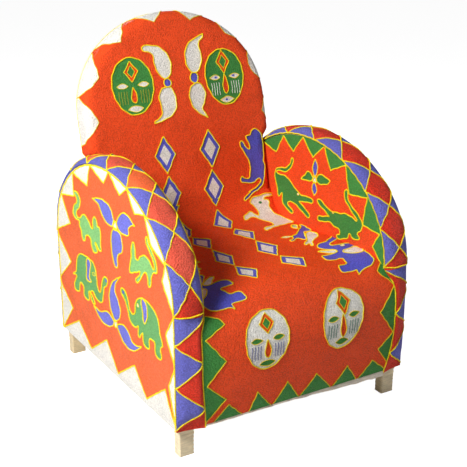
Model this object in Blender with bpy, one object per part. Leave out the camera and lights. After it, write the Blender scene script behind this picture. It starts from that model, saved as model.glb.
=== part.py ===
"""Beaded armchair: a pegged wooden frame, padded and dressed in beaded cloth.

Metres, +Z up, the front towards -Y. Sizes along the depth are measured back from the front seam of
the arms, and the finished chair is then moved so that its footprint is centred on the origin.
"""

import math

import bmesh
import bpy
from mathutils import Matrix, Vector
from mathutils.geometry import interpolate_bezier

# Clearances
GAP = 0.0003            # between two pieces that touch
SIDE_GAP = 0.0008       # between the arms and what sits between them
PAD_CLEARANCE = 0.002   # between the seat pad and the uprights behind it
MERGE = 1e-6            # corners closer than this are one

# Sheet materials
BOARD = 0.012           # plywood of the arms and the back
STRIP = 0.005           # bent plywood over the edges
RAIL = 0.022            # planed rails and uprights
COVER = 0.0035          # beaded cloth on its backing
CLOTH = 0.0012          # plain cream cloth

# Arms
ARM_SPAN = 0.740        # outer face to outer face
ARM_THICKNESS = 0.081   # face to face across one arm
ARM_DEPTH = 0.765       # front seam to rear seam
ARM_SPRING = 0.414      # floor to where the arch leaves the straight edges
ARM_RISE = 0.283        # height of the arch above that
BAND_CROWN = 0.019      # how far the padded band domes past the seams
BAND_POWER = 3.5        # how square the dome is across the band
BAND_FADE = 0.070       # length over which the dome dies out at each foot
BAND_PAD = 0.003        # padding at the seams, where it is thinnest

# Legs
BASE = 0.084            # floor to the lower edge of the beaded covers
LEG_WIDTH = 0.038
LEG_DEPTH = 0.028
SLEEVE_LIFT = 0.001     # floor to the cloth around a leg
BOARD_LIFT = 0.004      # boards end this far above the covers
PEG_RADIUS = 0.006
PEG_LOW = 0.035         # lower peg above the covers' edge
PEG_HIGH = 0.070        # upper peg below the top of the leg

# Seat
DECK_TOP = 0.308
DECK = 0.012
SEAT_SIDE = 0.410       # seat height along the arms
SEAT_CROWN = 0.020      # how far the seat swells above that
RAIL_SETBACK = 0.020    # front seam of the arms to the front rail
RAIL_LIFT = 0.0075      # covers' lower edge to the underside of the front rail
SIDE_RAIL_HEIGHT = 0.055
REAR_RAIL_HEIGHT = 0.160
TENON = 0.080           # height of a rail's tenon
BLOCK = 0.055           # legs of a triangular corner block
APRON_FRONT = 0.050     # how far the apron stands out before the arms
APRON_SWELL = 0.280     # height of its fullest line
APRON_LIFT = 0.010      # covers' lower edge to the apron's last row of beads
APRON_TUCK = 0.034      # how far its foot draws back from the fullest line
APRON_SIDE = 0.004      # how far it stands out where it meets the arms
APRON_POWER = 30        # how square its swell is across the width
NOSE = 0.075            # front seam of the arms to where the seat levels out
FILLET = 0.085          # length of the bend from seat to back
FILLET_FLAT = 0.55      # share of the bend that follows the seat
FILLET_RISE = 0.45      # share of the bend that follows the back
SEAM_SIDE = 0.010       # how far in from its edge the back is met at the arms
HEM = 0.0145            # height of the cream hem
TONGUE_INSET = 0.030    # underside cloth: arms to the tongue that reaches the hem
INNER_FOOT = 0.027      # deck to the lower edge of the arms' inner covers

# Back
RECLINE = math.radians(13.5)
BACK_SETBACK = 0.179    # rear seam of the arms to the back's board, at deck height
BACK_WIDTH = 0.616
BACK_SPRING = 0.4685    # deck to where the arch leaves the straight edges, along the back
BACK_RISE = 0.285
BACK_FLARE = 0.070      # length over which the back widens above the arms
FRAME_DEPTH = 0.028     # edge strip and uprights, board to pad
RIM = 0.030             # board to where the rounding of the front edge starts
ROUNDING = 0.030
BACK_CROWN = 0.014
BACK_FOOT = 0.012       # deck to the foot of the board, along the back
SEAM_HEIGHT = 0.172     # deck to the seam between the seat and back covers
UPRIGHT_WIDTH = 0.045
UPRIGHT_INSET = 0.098   # arms' inner covers to the middle of an upright
UPRIGHT_TOP = 0.560     # deck to the cross bar's underside, along the back
FOOT_CLEARANCE = 0.020  # uprights end this far above the covers' edge
REAR_SETBACK = 0.030    # rear seam of the arms to the foot of the lower rear board
REAR_TOP = 0.600        # floor to the top of the lower rear board
REAR_BOARD = 0.009

# How finely the curved pieces are divided
ARCH_STEPS = 18
FOOT_STEPS = 4
BAND_ROWS = 6
BACK_STEPS = 16
ROUND_STEPS = 4
CROWN_STEPS = 4
SEAT_COLUMNS = 14
PROFILE_STEPS = 5
CIRCLE_STEPS = 12
SHARP_ANGLE = math.radians(40)

# Worked out from the above
OUTER_FACE = ARM_SPAN / 2
INNER_FACE = OUTER_FACE - ARM_THICKNESS
OUTER_BOARD = OUTER_FACE - COVER - GAP - BOARD / 2
INNER_BOARD = INNER_FACE + COVER + GAP + BOARD / 2
ARM_CENTRE = (OUTER_FACE + INNER_FACE) / 2
LEG_CENTRE = OUTER_BOARD - BOARD / 2 - GAP - LEG_WIDTH / 2
BETWEEN_BOARDS = INNER_BOARD - BOARD / 2 - GAP
BETWEEN_COVERS = INNER_FACE - SIDE_GAP
UNDER_COVER = COVER + GAP
BACK_STAND = ARM_DEPTH - BACK_SETBACK
UPRIGHT_SPREAD = INNER_FACE - UPRIGHT_INSET
STRIP_INSET = COVER + 2 * GAP + BAND_PAD + GAP
BOARD_INSET = STRIP_INSET + STRIP + GAP
LEG_INSET = BOARD_INSET + GAP
LEG_TOP = ARM_SPRING - BOARD
RAIL_FOOT = BASE + RAIL_LIFT
DECK_FOOT = DECK_TOP - DECK
RAIL_BACK = RAIL_SETBACK + RAIL
TENON_LENGTH = BOARD
SHOULDER = RIM + ROUNDING
REAR_FACE = BOARD + GAP + COVER
REAR_RAIL_FRONT = FRAME_DEPTH + GAP + RAIL
APRON_FOOT = BASE + APRON_LIFT


def clear_scene():
    for old in list(bpy.data.objects):
        bpy.data.objects.remove(old)


def finish(name, colour, roughness):
    """A plain Principled material."""
    material = bpy.data.materials.new(name)
    material.use_nodes = True
    shader = material.node_tree.nodes["Principled BSDF"]
    shader.inputs["Base Color"].default_value = (*colour, 1)
    shader.inputs["Roughness"].default_value = roughness
    shader.inputs["Metallic"].default_value = 0
    return material


clear_scene()
CHAIR = bpy.data.collections.new("beaded_chair")
bpy.context.scene.collection.children.link(CHAIR)

PLYWOOD = finish("plywood", (0.50, 0.34, 0.19), 0.6)
PLANK = finish("plank", (0.36, 0.22, 0.11), 0.6)
FOAM = finish("foam", (0.80, 0.74, 0.52), 0.9)
CREAM = finish("cream_cloth", (0.72, 0.60, 0.46), 0.9)
RED_BEADS = finish("red_beads", (0.55, 0.06, 0.02), 0.3)
ORANGE_BEADS = finish("orange_beads", (0.75, 0.14, 0.02), 0.3)
BLUE_BEADS = finish("blue_beads", (0.03, 0.07, 0.30), 0.3)

# Planes for flat outlines: which chair directions an outline's x, y and thickness take
SIDE_PLANE = Matrix(((0, 0, 1, 0), (1, 0, 0, 0), (0, 1, 0, 0), (0, 0, 0, 1)))
FRONT_PLANE = Matrix(((1, 0, 0, 0), (0, 0, -1, 0), (0, 1, 0, 0), (0, 0, 0, 1)))
FLOOR_PLANE = Matrix.Identity(4)


def add(name, data, material, parent, frame=FLOOR_PLANE):
    """One named piece of the chair, placed in its parent by frame."""
    data.materials.append(material)
    piece = bpy.data.objects.new(name, data)
    CHAIR.objects.link(piece)
    piece.parent = parent
    piece.matrix_basis = frame
    return piece


def empty(name, parent, frame=FLOOR_PLANE):
    guide = bpy.data.objects.new(name, None)
    CHAIR.objects.link(guide)
    guide.parent = parent
    guide.matrix_basis = frame
    return guide


def plank(name, outlines, thickness, material, parent, plane, place):
    """A flat board. The first outline is its edge and the others are holes; place is its middle."""
    curve = bpy.data.curves.new(name, "CURVE")
    curve.dimensions = "2D"
    curve.fill_mode = "BOTH"
    curve.extrude = thickness / 2
    for outline in outlines:
        spline = curve.splines.new("POLY")
        spline.points.add(len(outline) - 1)
        for point, (across, up) in zip(spline.points, outline):
            point.co = (across, up, 0, 1)
        spline.use_cyclic_u = True
    return add(name, curve, material, parent, Matrix.Translation(place) @ plane)


def layer(name, columns, rows, low, high, material, parent):
    """A closed sheet or pad: low(i, j) and high(i, j) place its lower and upper skin, column by row."""
    mesh = bpy.data.meshes.new(name)
    shape = bmesh.new()
    bmesh.ops.create_grid(shape, x_segments=columns, y_segments=rows, size=0.5)
    column_of = shape.verts.layers.int.new("column")
    row_of = shape.verts.layers.int.new("row")
    for corner in shape.verts:
        corner[column_of] = round((corner.co.x + 0.5) * columns)
        corner[row_of] = round((corner.co.y + 0.5) * rows)
        corner.co = high(corner[column_of], corner[row_of])
    bmesh.ops.remove_doubles(shape, verts=shape.verts, dist=MERGE)
    grown = bmesh.ops.extrude_face_region(shape, geom=shape.faces[:], use_keep_orig=True)
    lowered = [part for part in grown["geom"] if isinstance(part, bmesh.types.BMVert)]
    for corner in lowered:
        corner.co = low(corner[column_of], corner[row_of])
    bmesh.ops.remove_doubles(shape, verts=shape.verts, dist=MERGE)
    bmesh.ops.recalc_face_normals(shape, faces=shape.faces)
    shape.to_mesh(mesh)
    shape.free()
    mesh.shade_smooth()
    mesh.set_sharp_from_angle(angle=SHARP_ANGLE)
    return add(name, mesh, material, parent)


def rod(name, radius, length, material, parent, place):
    """A round peg along X."""
    mesh = bpy.data.meshes.new(name)
    shape = bmesh.new()
    bmesh.ops.create_cone(shape, cap_ends=True, segments=CIRCLE_STEPS, radius1=radius, radius2=radius,
                          depth=length, matrix=Matrix.Rotation(math.pi / 2, 4, "Y"))
    shape.to_mesh(mesh)
    shape.free()
    return add(name, mesh, material, parent, Matrix.Translation(place))


def rectangle(left, right, bottom, top):
    return [(left, bottom), (right, bottom), (right, top), (left, top)]


def circle(across, up, radius):
    """A round hole, its corners set out so that its flats clear the radius."""
    reach = radius / math.cos(math.pi / CIRCLE_STEPS)
    turns = [2 * math.pi * step / CIRCLE_STEPS for step in range(CIRCLE_STEPS)]
    return [(across + reach * math.cos(turn), up + reach * math.sin(turn)) for turn in turns]


def ease(share):
    """0 to 1 with level ends."""
    share = min(max(share, 0), 1)
    return share * share * (3 - 2 * share)


# Arms

def climb(base):
    """Heights of the corners along an arm's straight edge, closer together towards its foot."""
    return [base + (ARM_SPRING - base) * ease(step / FOOT_STEPS / 2) * 2 for step in range(FOOT_STEPS)]


def arm_edge(front_base, rear_base, inset):
    """An arm's edge as (depth, height) points, from the front foot over the arch to the rear foot."""
    middle = ARM_DEPTH / 2
    front = [(inset, height) for height in climb(front_base)]
    arch = []
    for step in range(ARCH_STEPS + 1):
        angle = math.pi * (1 - step / ARCH_STEPS)
        depth = middle + (middle - inset) * math.cos(angle)
        arch.append((depth, ARM_SPRING + (ARM_RISE - inset) * math.sin(angle)))
    rear = [(ARM_DEPTH - inset, height) for height in reversed(climb(rear_base))]
    return front + arch + rear


def inner_cover_edge():
    """An inner cover's edge: it ends under the seat's side, and behind the rear board it runs to the foot."""
    foot = DECK_TOP + INNER_FOOT
    edge = arm_edge(foot, BASE, UNDER_COVER)
    return edge + [(rear_plane(BASE) + GAP, BASE), (rear_plane(foot) + GAP, foot)]


def arm_height(depth):
    """Height of an arm's seam at this depth."""
    middle = ARM_DEPTH / 2
    share = min(abs(depth - middle) / middle, 1)
    return ARM_SPRING + ARM_RISE * math.sqrt(1 - share * share)


def band_dome(height, across):
    """How far the band domes past the seams; across runs from -1 at one seam to 1 at the other."""
    fade = ease((height - BASE) / BAND_FADE)
    return BAND_CROWN * fade * (1 - abs(across) ** BAND_POWER)


def band_skin(centre, width, base, inset, domed):
    """A skin along an arm's edge, set in from the seams and, if domed, swelling between them."""
    seam = arm_edge(base, base, 0)

    def place(column, row):
        across = math.sin(math.pi / 2 * (2 * row / BAND_ROWS - 1))
        depth = inset
        if domed:
            depth -= band_dome(seam[column][1], across)
        along, height = arm_edge(base, base, depth)[column]
        return Vector((centre - across * width / 2, along, height))

    return place


def make_arm(side, sign, parent):
    """One arm: two boards, bent strip, domed pad, three beaded covers."""
    columns = len(arm_edge(BASE, BASE, 0)) - 1
    legs = (LEG_INSET + LEG_DEPTH / 2, ARM_DEPTH - LEG_INSET - LEG_DEPTH / 2)
    peg_holes = [circle(leg, height, PEG_RADIUS + GAP) for leg in legs for height in peg_heights()]
    mortises = [front_mortise(), rear_mortise()]
    board_foot = BASE + BOARD_LIFT
    board_edge = arm_edge(board_foot, board_foot, BOARD_INSET)
    cover_edge = arm_edge(BASE, BASE, UNDER_COVER)
    plank(f"{side}_arm_outer_board", [board_edge] + peg_holes, BOARD, PLYWOOD, parent,
          SIDE_PLANE, (sign * OUTER_BOARD, 0, 0))
    plank(f"{side}_arm_inner_board", [board_edge] + peg_holes + mortises, BOARD, PLYWOOD, parent,
          SIDE_PLANE, (sign * INNER_BOARD, 0, 0))
    plank(f"{side}_arm_outer_cover", [cover_edge], COVER, ORANGE_BEADS, parent,
          SIDE_PLANE, (sign * (OUTER_FACE - COVER / 2), 0, 0))
    plank(f"{side}_arm_inner_cover", [inner_cover_edge()], COVER, RED_BEADS, parent,
          SIDE_PLANE, (sign * (INNER_FACE + COVER / 2), 0, 0))
    centre = sign * ARM_CENTRE
    core = ARM_THICKNESS - 2 * UNDER_COVER
    layer(f"{side}_arm_edge_strip", columns, BAND_ROWS,
          band_skin(centre, core, BASE, STRIP_INSET + STRIP, False),
          band_skin(centre, core, BASE, STRIP_INSET, False), PLYWOOD, parent)
    layer(f"{side}_arm_band_pad", columns, BAND_ROWS,
          band_skin(centre, core, BASE, STRIP_INSET - GAP, False),
          band_skin(centre, core, BASE, COVER + 2 * GAP, True), FOAM, parent)
    layer(f"{side}_arm_band_cover", columns, BAND_ROWS,
          band_skin(centre, ARM_THICKNESS, BASE, COVER, True),
          band_skin(centre, ARM_THICKNESS, BASE, 0, True), BLUE_BEADS, parent)
    behind_leg = LEG_INSET + LEG_DEPTH + CLOTH + 2 * GAP
    plank(f"{side}_arm_underside_cloth", [rectangle(-core / 2, core / 2, behind_leg, ARM_DEPTH - behind_leg)],
          CLOTH, CREAM, parent, FLOOR_PLANE, (centre, 0, board_foot - GAP - CLOTH / 2))


# Legs

def peg_heights():
    return (BASE + PEG_LOW, LEG_TOP - PEG_HIGH)


def make_leg(name, sign, front, parent):
    """A leg that runs up between an arm's boards, its two pegs and the cloth around its foot."""
    middle = front + LEG_DEPTH / 2
    centre = sign * LEG_CENTRE
    outline = rectangle(front, front + LEG_DEPTH, 0, LEG_TOP)
    holes = [circle(middle, height, PEG_RADIUS + GAP) for height in peg_heights()]
    plank(name, [outline] + holes, LEG_WIDTH, PLANK, parent, SIDE_PLANE, (centre, 0, 0))
    peg_length = OUTER_BOARD - INNER_BOARD + BOARD
    for place, height in zip(("lower", "upper"), peg_heights()):
        rod(f"{name}_{place}_peg", PEG_RADIUS, peg_length, PLANK, parent, (sign * ARM_CENTRE, middle, height))
    inside = (LEG_WIDTH / 2 + GAP, LEG_DEPTH / 2 + GAP)
    outside = (inside[0] + CLOTH, inside[1] + CLOTH)
    rings = [rectangle(-across, across, -deep, deep) for across, deep in (outside, inside)]
    height = BASE - GAP - SLEEVE_LIFT
    plank(f"{name}_sleeve", rings, height, CREAM, parent, FLOOR_PLANE,
          (centre, middle, SLEEVE_LIFT + height / 2))


# Back, in its own leaning frame: x across, y up along the board, z forward from the board's face

def on_back(along, forward):
    """(depth, height) in the chair of a point on the back's middle plane."""
    depth = BACK_STAND + along * math.sin(RECLINE) - forward * math.cos(RECLINE)
    return depth, DECK_TOP + along * math.cos(RECLINE) + forward * math.sin(RECLINE)


def waist_top():
    """Height along the back where its front shoulder clears the arms' bands."""
    along = 0
    for _ in range(ARCH_STEPS):
        depth, height = on_back(along, SHOULDER)
        along += (arm_height(depth) + BAND_CROWN - height) / math.cos(RECLINE)
    return along


def back_edge(foot, inset):
    """The back's edge as (x, y) points, from the right foot over the arch to the left foot."""
    half = BACK_WIDTH / 2 - inset
    narrowing = BACK_WIDTH / 2 - BETWEEN_COVERS
    waist = waist_top()
    levels = [BACK_SPRING * step / BACK_STEPS for step in range(BACK_STEPS)]
    right = [(half, level) for level in [foot] + [level for level in levels if level > foot]]
    for step in range(ARCH_STEPS // 2 + 1):
        angle = math.pi / 2 * step / (ARCH_STEPS // 2)
        right.append((half * math.cos(angle), BACK_SPRING + (BACK_RISE - inset) * math.sin(angle)))
    right = [(max(x - narrowing * (1 - ease((y - waist) / BACK_FLARE)), 0), y) for x, y in right]
    return right + [(-x, y) for x, y in reversed(right[:-1])]


def back_swell(distance, reach, inset):
    """Forward place of the back's front face, at a distance in from its edge, and reach at the middle."""
    rounding = ROUNDING - inset
    if distance < rounding:
        share = 1 - distance / rounding
        return RIM + rounding * math.sqrt(1 - share * share)
    return RIM + rounding + BACK_CROWN * ease((distance - rounding) / (reach - rounding))


def back_skin(foot, inset, rim):
    """The back's skin, set in by inset: a rim back to the depth rim, a rounded edge, a crowned face."""
    edge = back_edge(foot, inset)
    rounding = ROUNDING - inset

    def place(column, row):
        x, y = edge[column]
        heart = Vector((0, min(y, BACK_SPRING)))
        inward = heart - Vector((x, y))
        reach = inward.length
        if row == 0:
            return Vector((x, y, rim))
        if row <= ROUND_STEPS:
            distance = rounding * (1 - math.cos(math.pi / 2 * (row - 1) / ROUND_STEPS))
        else:
            distance = rounding + (reach - rounding) * (row - 1 - ROUND_STEPS) / CROWN_STEPS
        spot = Vector((x, y)) + inward * (distance / reach)
        return Vector((spot.x, spot.y, back_swell(distance, reach, inset)))

    return place


def flattened(skin, forward):
    """The same columns and rows as a skin, laid flat at one depth."""
    def place(column, row):
        spot = skin(column, row)
        return Vector((spot.x, spot.y, forward))
    return place


def back_strip_skin(inset):
    edge = back_edge(BACK_FOOT, inset)

    def place(column, row):
        x, y = edge[column]
        return Vector((x, y, GAP + row * (FRAME_DEPTH - GAP)))

    return place


def make_back(parent):
    """The leaning back: board, bent edge strip, uprights, cross bar, pad, front and rear covers."""
    inside = COVER + 2 * GAP
    frame = empty("back_frame", parent, Matrix.Translation((0, BACK_STAND, DECK_TOP))
                  @ Matrix.Rotation(math.pi / 2 - RECLINE, 4, "X"))
    strip_columns = len(back_edge(BACK_FOOT, 0)) - 1
    columns = len(back_edge(SEAM_HEIGHT + GAP, 0)) - 1
    rows = 1 + ROUND_STEPS + CROWN_STEPS
    plank("back_board", [back_edge(BACK_FOOT, inside)], BOARD, PLYWOOD, frame, FLOOR_PLANE,
          (0, 0, -BOARD / 2))
    layer("back_edge_strip", strip_columns, 1, back_strip_skin(inside + STRIP), back_strip_skin(inside),
          PLYWOOD, frame)
    foot = -(DECK_TOP - BASE - FOOT_CLEARANCE) / math.cos(RECLINE)
    timber = FRAME_DEPTH - GAP
    for side, sign in (("left", -1), ("right", 1)):
        middle = sign * UPRIGHT_SPREAD
        outline = rectangle(middle - UPRIGHT_WIDTH / 2, middle + UPRIGHT_WIDTH / 2, foot, UPRIGHT_TOP - GAP)
        plank(f"{side}_back_upright", [outline], timber, PLANK, frame, FLOOR_PLANE, (0, 0, GAP + timber / 2))
    bar_half = UPRIGHT_SPREAD + UPRIGHT_WIDTH / 2
    bar = rectangle(-bar_half, bar_half, UPRIGHT_TOP, UPRIGHT_TOP + UPRIGHT_WIDTH)
    plank("back_cross_bar", [bar], timber, PLANK, frame, FLOOR_PLANE, (0, 0, GAP + timber / 2))
    pad = back_skin(SEAM_HEIGHT + GAP, inside, FRAME_DEPTH + GAP)
    layer("back_pad", columns, rows, flattened(pad, FRAME_DEPTH + GAP), pad, FOAM, frame)
    layer("back_front_cover", columns, rows, back_skin(SEAM_HEIGHT + GAP, COVER, -BOARD),
          back_skin(SEAM_HEIGHT + GAP, 0, -BOARD), RED_BEADS, frame)
    rear_foot = (REAR_TOP - DECK_TOP + REAR_FACE * math.sin(RECLINE)) / math.cos(RECLINE)
    plank("back_rear_cover", [back_edge(rear_foot, 0)], COVER, RED_BEADS, frame, FLOOR_PLANE,
          (0, 0, -BOARD - GAP - COVER / 2))
    make_rear_rail(frame)
    make_rear_blocks(frame)


def rear_board_ends():
    """Foot and top of the lower rear board's front face, as (depth, height)."""
    along = (REAR_TOP - DECK_TOP + REAR_FACE * math.sin(RECLINE)) / math.cos(RECLINE)
    return (ARM_DEPTH - REAR_SETBACK, BASE + BOARD_LIFT), on_back(along, -REAR_FACE - GAP)


def rear_plane(height):
    """Depth of the lower rear board's front face at this height."""
    foot, top = rear_board_ends()
    return foot[0] + (top[0] - foot[0]) * (height - foot[1]) / (top[1] - foot[1])


def make_rear_panel(parent):
    """The lower rear board, leaning from the arms' rear feet to the back, its cover and its cleats."""
    (foot_depth, foot_height), (top_depth, top_height) = rear_board_ends()
    lean = math.atan2(foot_depth - top_depth, top_height - foot_height)
    height = math.hypot(foot_depth - top_depth, top_height - foot_height)
    frame = empty("rear_frame", parent, Matrix.Translation((0, foot_depth, foot_height))
                  @ Matrix.Rotation(math.pi / 2 + lean, 4, "X"))
    outline = rectangle(-BETWEEN_COVERS, BETWEEN_COVERS, 0, height)
    plank("rear_board", [outline], REAR_BOARD, PLYWOOD, frame, FLOOR_PLANE, (0, 0, -REAR_BOARD / 2))
    plank("rear_cover", [outline], COVER, RED_BEADS, frame, FLOOR_PLANE,
          (0, 0, -REAR_BOARD - GAP - COVER / 2))
    cleat_foot = RAIL_LIFT + RAIL
    cleat_top = (DECK_TOP + INNER_FOOT - foot_height - RAIL) / math.cos(lean)
    for side, sign in (("left", -1), ("right", 1)):
        inner = sign * (BETWEEN_BOARDS - RAIL)
        outer = sign * BETWEEN_BOARDS
        cleat = rectangle(min(inner, outer), max(inner, outer), cleat_foot, cleat_top)
        plank(f"{side}_rear_cleat", [cleat], RAIL, PLANK, frame, FLOOR_PLANE, (0, 0, GAP + RAIL / 2))


# Seat box

def tenoned(bottom, top):
    """A rail's outline with a tenon at each end."""
    middle = (bottom + top) / 2
    low, high = middle - TENON / 2, middle + TENON / 2
    half = BETWEEN_BOARDS
    end = half + TENON_LENGTH
    return [(-half, bottom), (half, bottom), (half, low), (end, low), (end, high), (half, high),
            (half, top), (-half, top), (-half, high), (-end, high), (-end, low), (-half, low)]


def front_mortise():
    middle = (RAIL_FOOT + DECK_FOOT - GAP) / 2
    return rectangle(RAIL_SETBACK - GAP, RAIL_BACK + GAP,
                     middle - TENON / 2 - GAP, middle + TENON / 2 + GAP)


def rear_rail_span():
    """Foot and top of the rear rail along the back; its front top edge meets the deck's underside."""
    top = -(DECK + GAP + REAR_RAIL_FRONT * math.sin(RECLINE)) / math.cos(RECLINE)
    return top - REAR_RAIL_HEIGHT, top


def rear_mortise():
    foot, top = rear_rail_span()
    middle = (foot + top) / 2
    low, high = middle - TENON / 2 - GAP, middle + TENON / 2 + GAP
    near, far = FRAME_DEPTH, REAR_RAIL_FRONT + GAP
    return [on_back(low, near), on_back(high, near), on_back(high, far), on_back(low, far)]


def make_rear_rail(frame):
    foot, top = rear_rail_span()
    plank("rear_rail", [tenoned(foot, top)], RAIL, PLANK, frame, FLOOR_PLANE,
          (0, 0, REAR_RAIL_FRONT - RAIL / 2))


def corner_triangle(sign):
    """A block's outline in the corner between a cross rail, along x, and a side rail."""
    corner = sign * (BETWEEN_BOARDS - RAIL - GAP)
    return [(corner, 0), (corner, BLOCK), (corner - sign * BLOCK, 0)]


def make_rear_blocks(frame):
    height = SIDE_RAIL_HEIGHT - RAIL
    middle = rear_rail_span()[1] - BLOCK / 2 - height / 2
    lying = Matrix.Rotation(math.pi / 2, 4, "X")
    for side, sign in (("left", -1), ("right", 1)):
        plank(f"rear_{side}_block", [corner_triangle(sign)], height, PLANK, frame, lying,
              (0, middle, REAR_RAIL_FRONT + GAP))


def make_seat_box(parent):
    """Front rail, side rails, front corner blocks, deck and the cloth under them."""
    top = DECK_FOOT - GAP
    plank("front_rail", [tenoned(RAIL_FOOT, top)], RAIL, PLANK, parent, FRONT_PLANE,
          (0, RAIL_SETBACK + RAIL / 2, 0))
    rail_low = top - SIDE_RAIL_HEIGHT
    rear_front = REAR_RAIL_FRONT + GAP
    lean = math.tan(RECLINE)
    rear_depth, rear_height = on_back(0, rear_front)
    ends = [rear_depth + (height - rear_height) * lean for height in (rail_low, top)]
    outline = [(RAIL_BACK + GAP, rail_low), (ends[0], rail_low), (ends[1], top), (RAIL_BACK + GAP, top)]
    block = SIDE_RAIL_HEIGHT - RAIL
    for side, sign in (("left", -1), ("right", 1)):
        plank(f"{side}_side_rail", [outline], RAIL, PLANK, parent, SIDE_PLANE,
              (sign * (BETWEEN_BOARDS - RAIL / 2), 0, 0))
        plank(f"front_{side}_block", [corner_triangle(sign)], block, PLANK, parent, FLOOR_PLANE,
              (0, RAIL_BACK + GAP, top - block / 2))
    deck_back = on_back(-(DECK + FRAME_DEPTH * math.sin(RECLINE)) / math.cos(RECLINE), FRAME_DEPTH + GAP)[0]
    plank("seat_deck", [rectangle(-BETWEEN_BOARDS, BETWEEN_BOARDS, RAIL_SETBACK, deck_back)], DECK,
          PLYWOOD, parent, FLOOR_PLANE, (0, 0, DECK_TOP - DECK / 2))
    plank("underside_cloth", [underside_outline()], CLOTH, CREAM, parent, FLOOR_PLANE,
          (0, 0, RAIL_FOOT - GAP - CLOTH / 2))


def underside_outline():
    """The cloth under the seat box, with a tongue forward to the apron's hem."""
    half = BETWEEN_BOARDS
    back = ARM_DEPTH - REAR_SETBACK - REAR_BOARD
    tongue = BETWEEN_COVERS - TONGUE_INSET
    front = APRON_TUCK - APRON_FRONT + COVER + CLOTH
    return [(-half, RAIL_SETBACK), (-tongue, RAIL_SETBACK), (-tongue, front), (tongue, front),
            (tongue, RAIL_SETBACK), (half, RAIL_SETBACK), (half, back), (-half, back)]


# Seat

def seat_across(column):
    """Place across the seat, closer together towards the arms; also as -1 to 1."""
    share = math.sin(math.pi / 2 * (2 * column / SEAT_COLUMNS - 1))
    return share * BETWEEN_COVERS, share


def seat_profile(x, share):
    """(depth, height) points of the seat cover at one place across, from the apron's foot to the back."""
    swell = 1 - abs(share) ** APRON_POWER
    front = -APRON_SIDE - (APRON_FRONT - APRON_SIDE) * swell
    foot = -APRON_SIDE - (APRON_FRONT - APRON_SIDE - APRON_TUCK) * swell
    level = SEAT_SIDE + SEAT_CROWN * (1 - share * share)
    edge_distance = BETWEEN_COVERS - abs(x) + SEAM_SIDE
    seam_forward = back_swell(edge_distance, BETWEEN_COVERS + SEAM_SIDE, 0)
    seam = Vector(on_back(SEAM_HEIGHT, seam_forward))
    rise = Vector((math.sin(RECLINE), math.cos(RECLINE)))
    bend = Vector((seam.x - FILLET, level))
    knots = [
        (Vector((foot, APRON_FOOT)), Vector(((front - foot) / 2, NOSE / 2))),
        (Vector((front, APRON_SWELL)), Vector((0, NOSE))),
        (Vector((NOSE, level)), Vector((NOSE, 0))),
        (bend, Vector((FILLET * FILLET_FLAT, 0))),
        (seam, rise * FILLET * FILLET_RISE),
    ]
    points = [knots[0][0]]
    for (start, leaving), (end, arriving) in zip(knots, knots[1:]):
        run = interpolate_bezier(start, start + leaving, end - arriving, end, PROFILE_STEPS + 1)
        points += [point.to_2d() for point in run[1:]]
    return points


def seat_skin(depth):
    """The seat and apron's skin, depth below the surface of the cover."""
    profiles = []
    for column in range(SEAT_COLUMNS + 1):
        points = seat_profile(*seat_across(column))
        ends = [points[0] * 2 - points[1]] + points + [points[-1] * 2 - points[-2]]
        moved = []
        for before, point, after in zip(ends, points, ends[2:]):
            along = (after - before).normalized()
            moved.append(point + Vector((along.y, -along.x)) * depth)
        profiles.append(moved)

    def place(column, row):
        spot = profiles[column][row]
        return Vector((seat_across(column)[0], spot.x, spot.y))

    return place


def pad_top(rows):
    """The seat pad's upper skin: under the cover, then square back to the plane of the uprights."""
    skin = seat_skin(COVER + 2 * GAP)
    corner = on_back(SEAM_HEIGHT - 2 * GAP, FRAME_DEPTH + PAD_CLEARANCE)

    def place(column, row):
        if row < rows:
            return skin(column, row)
        return Vector((seat_across(column)[0], *corner))

    return place


def pad_bottom(rows):
    """The seat pad's lower skin: down the front rail, along the deck, up to the uprights."""
    skin = seat_skin(COVER + 2 * GAP)
    floor = DECK_TOP + GAP
    wall = RAIL_SETBACK - GAP
    last = on_back(GAP, FRAME_DEPTH + PAD_CLEARANCE)[0]

    def place(column, row):
        if row == rows:
            return Vector((seat_across(column)[0], last, floor))
        spot = skin(column, row)
        if spot.z < floor:
            return Vector((spot.x, wall, spot.z))
        back_limit = last - (rows - row) * GAP
        return Vector((spot.x, min(max(spot.y, wall), back_limit), floor))

    return place


def make_seat(parent):
    """Seat pad, the beaded cover over seat and apron, and the cream hem."""
    rows = 4 * PROFILE_STEPS
    layer("seat_pad", SEAT_COLUMNS, rows + 1, pad_bottom(rows + 1), pad_top(rows + 1), FOAM, parent)
    layer("seat_cover", SEAT_COLUMNS, rows, seat_skin(COVER), seat_skin(0), RED_BEADS, parent)

    def hem_skin(depth):
        skin = seat_skin(COVER / 2 + depth)

        def place(column, row):
            spot = skin(column, 0)
            return Vector((spot.x, spot.y, APRON_FOOT - 2 * GAP - HEM * (1 - row)))

        return place

    layer("front_hem", SEAT_COLUMNS, 1, hem_skin(CLOTH), hem_skin(0), CREAM, parent)


def centre_footprint(root):
    """Moves the chair so that its footprint is centred on the origin."""
    bpy.context.view_layer.update()
    graph = bpy.context.evaluated_depsgraph_get()
    places = []
    for piece in CHAIR.objects:
        if piece.type != "EMPTY":
            body = piece.evaluated_get(graph).to_mesh()
            places += [(piece.matrix_world @ corner.co).y for corner in body.vertices]
            piece.evaluated_get(graph).to_mesh_clear()
    root.location.y -= (min(places) + max(places)) / 2


ROOT = empty("chair_frame", None)
for side_name, side_sign in (("left", -1), ("right", 1)):
    make_arm(side_name, side_sign, ROOT)
    make_leg(f"front_{side_name}_leg", side_sign, LEG_INSET, ROOT)
    make_leg(f"rear_{side_name}_leg", side_sign, ARM_DEPTH - LEG_INSET - LEG_DEPTH, ROOT)
make_seat_box(ROOT)
make_back(ROOT)
make_rear_panel(ROOT)
make_seat(ROOT)
centre_footprint(ROOT)
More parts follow.
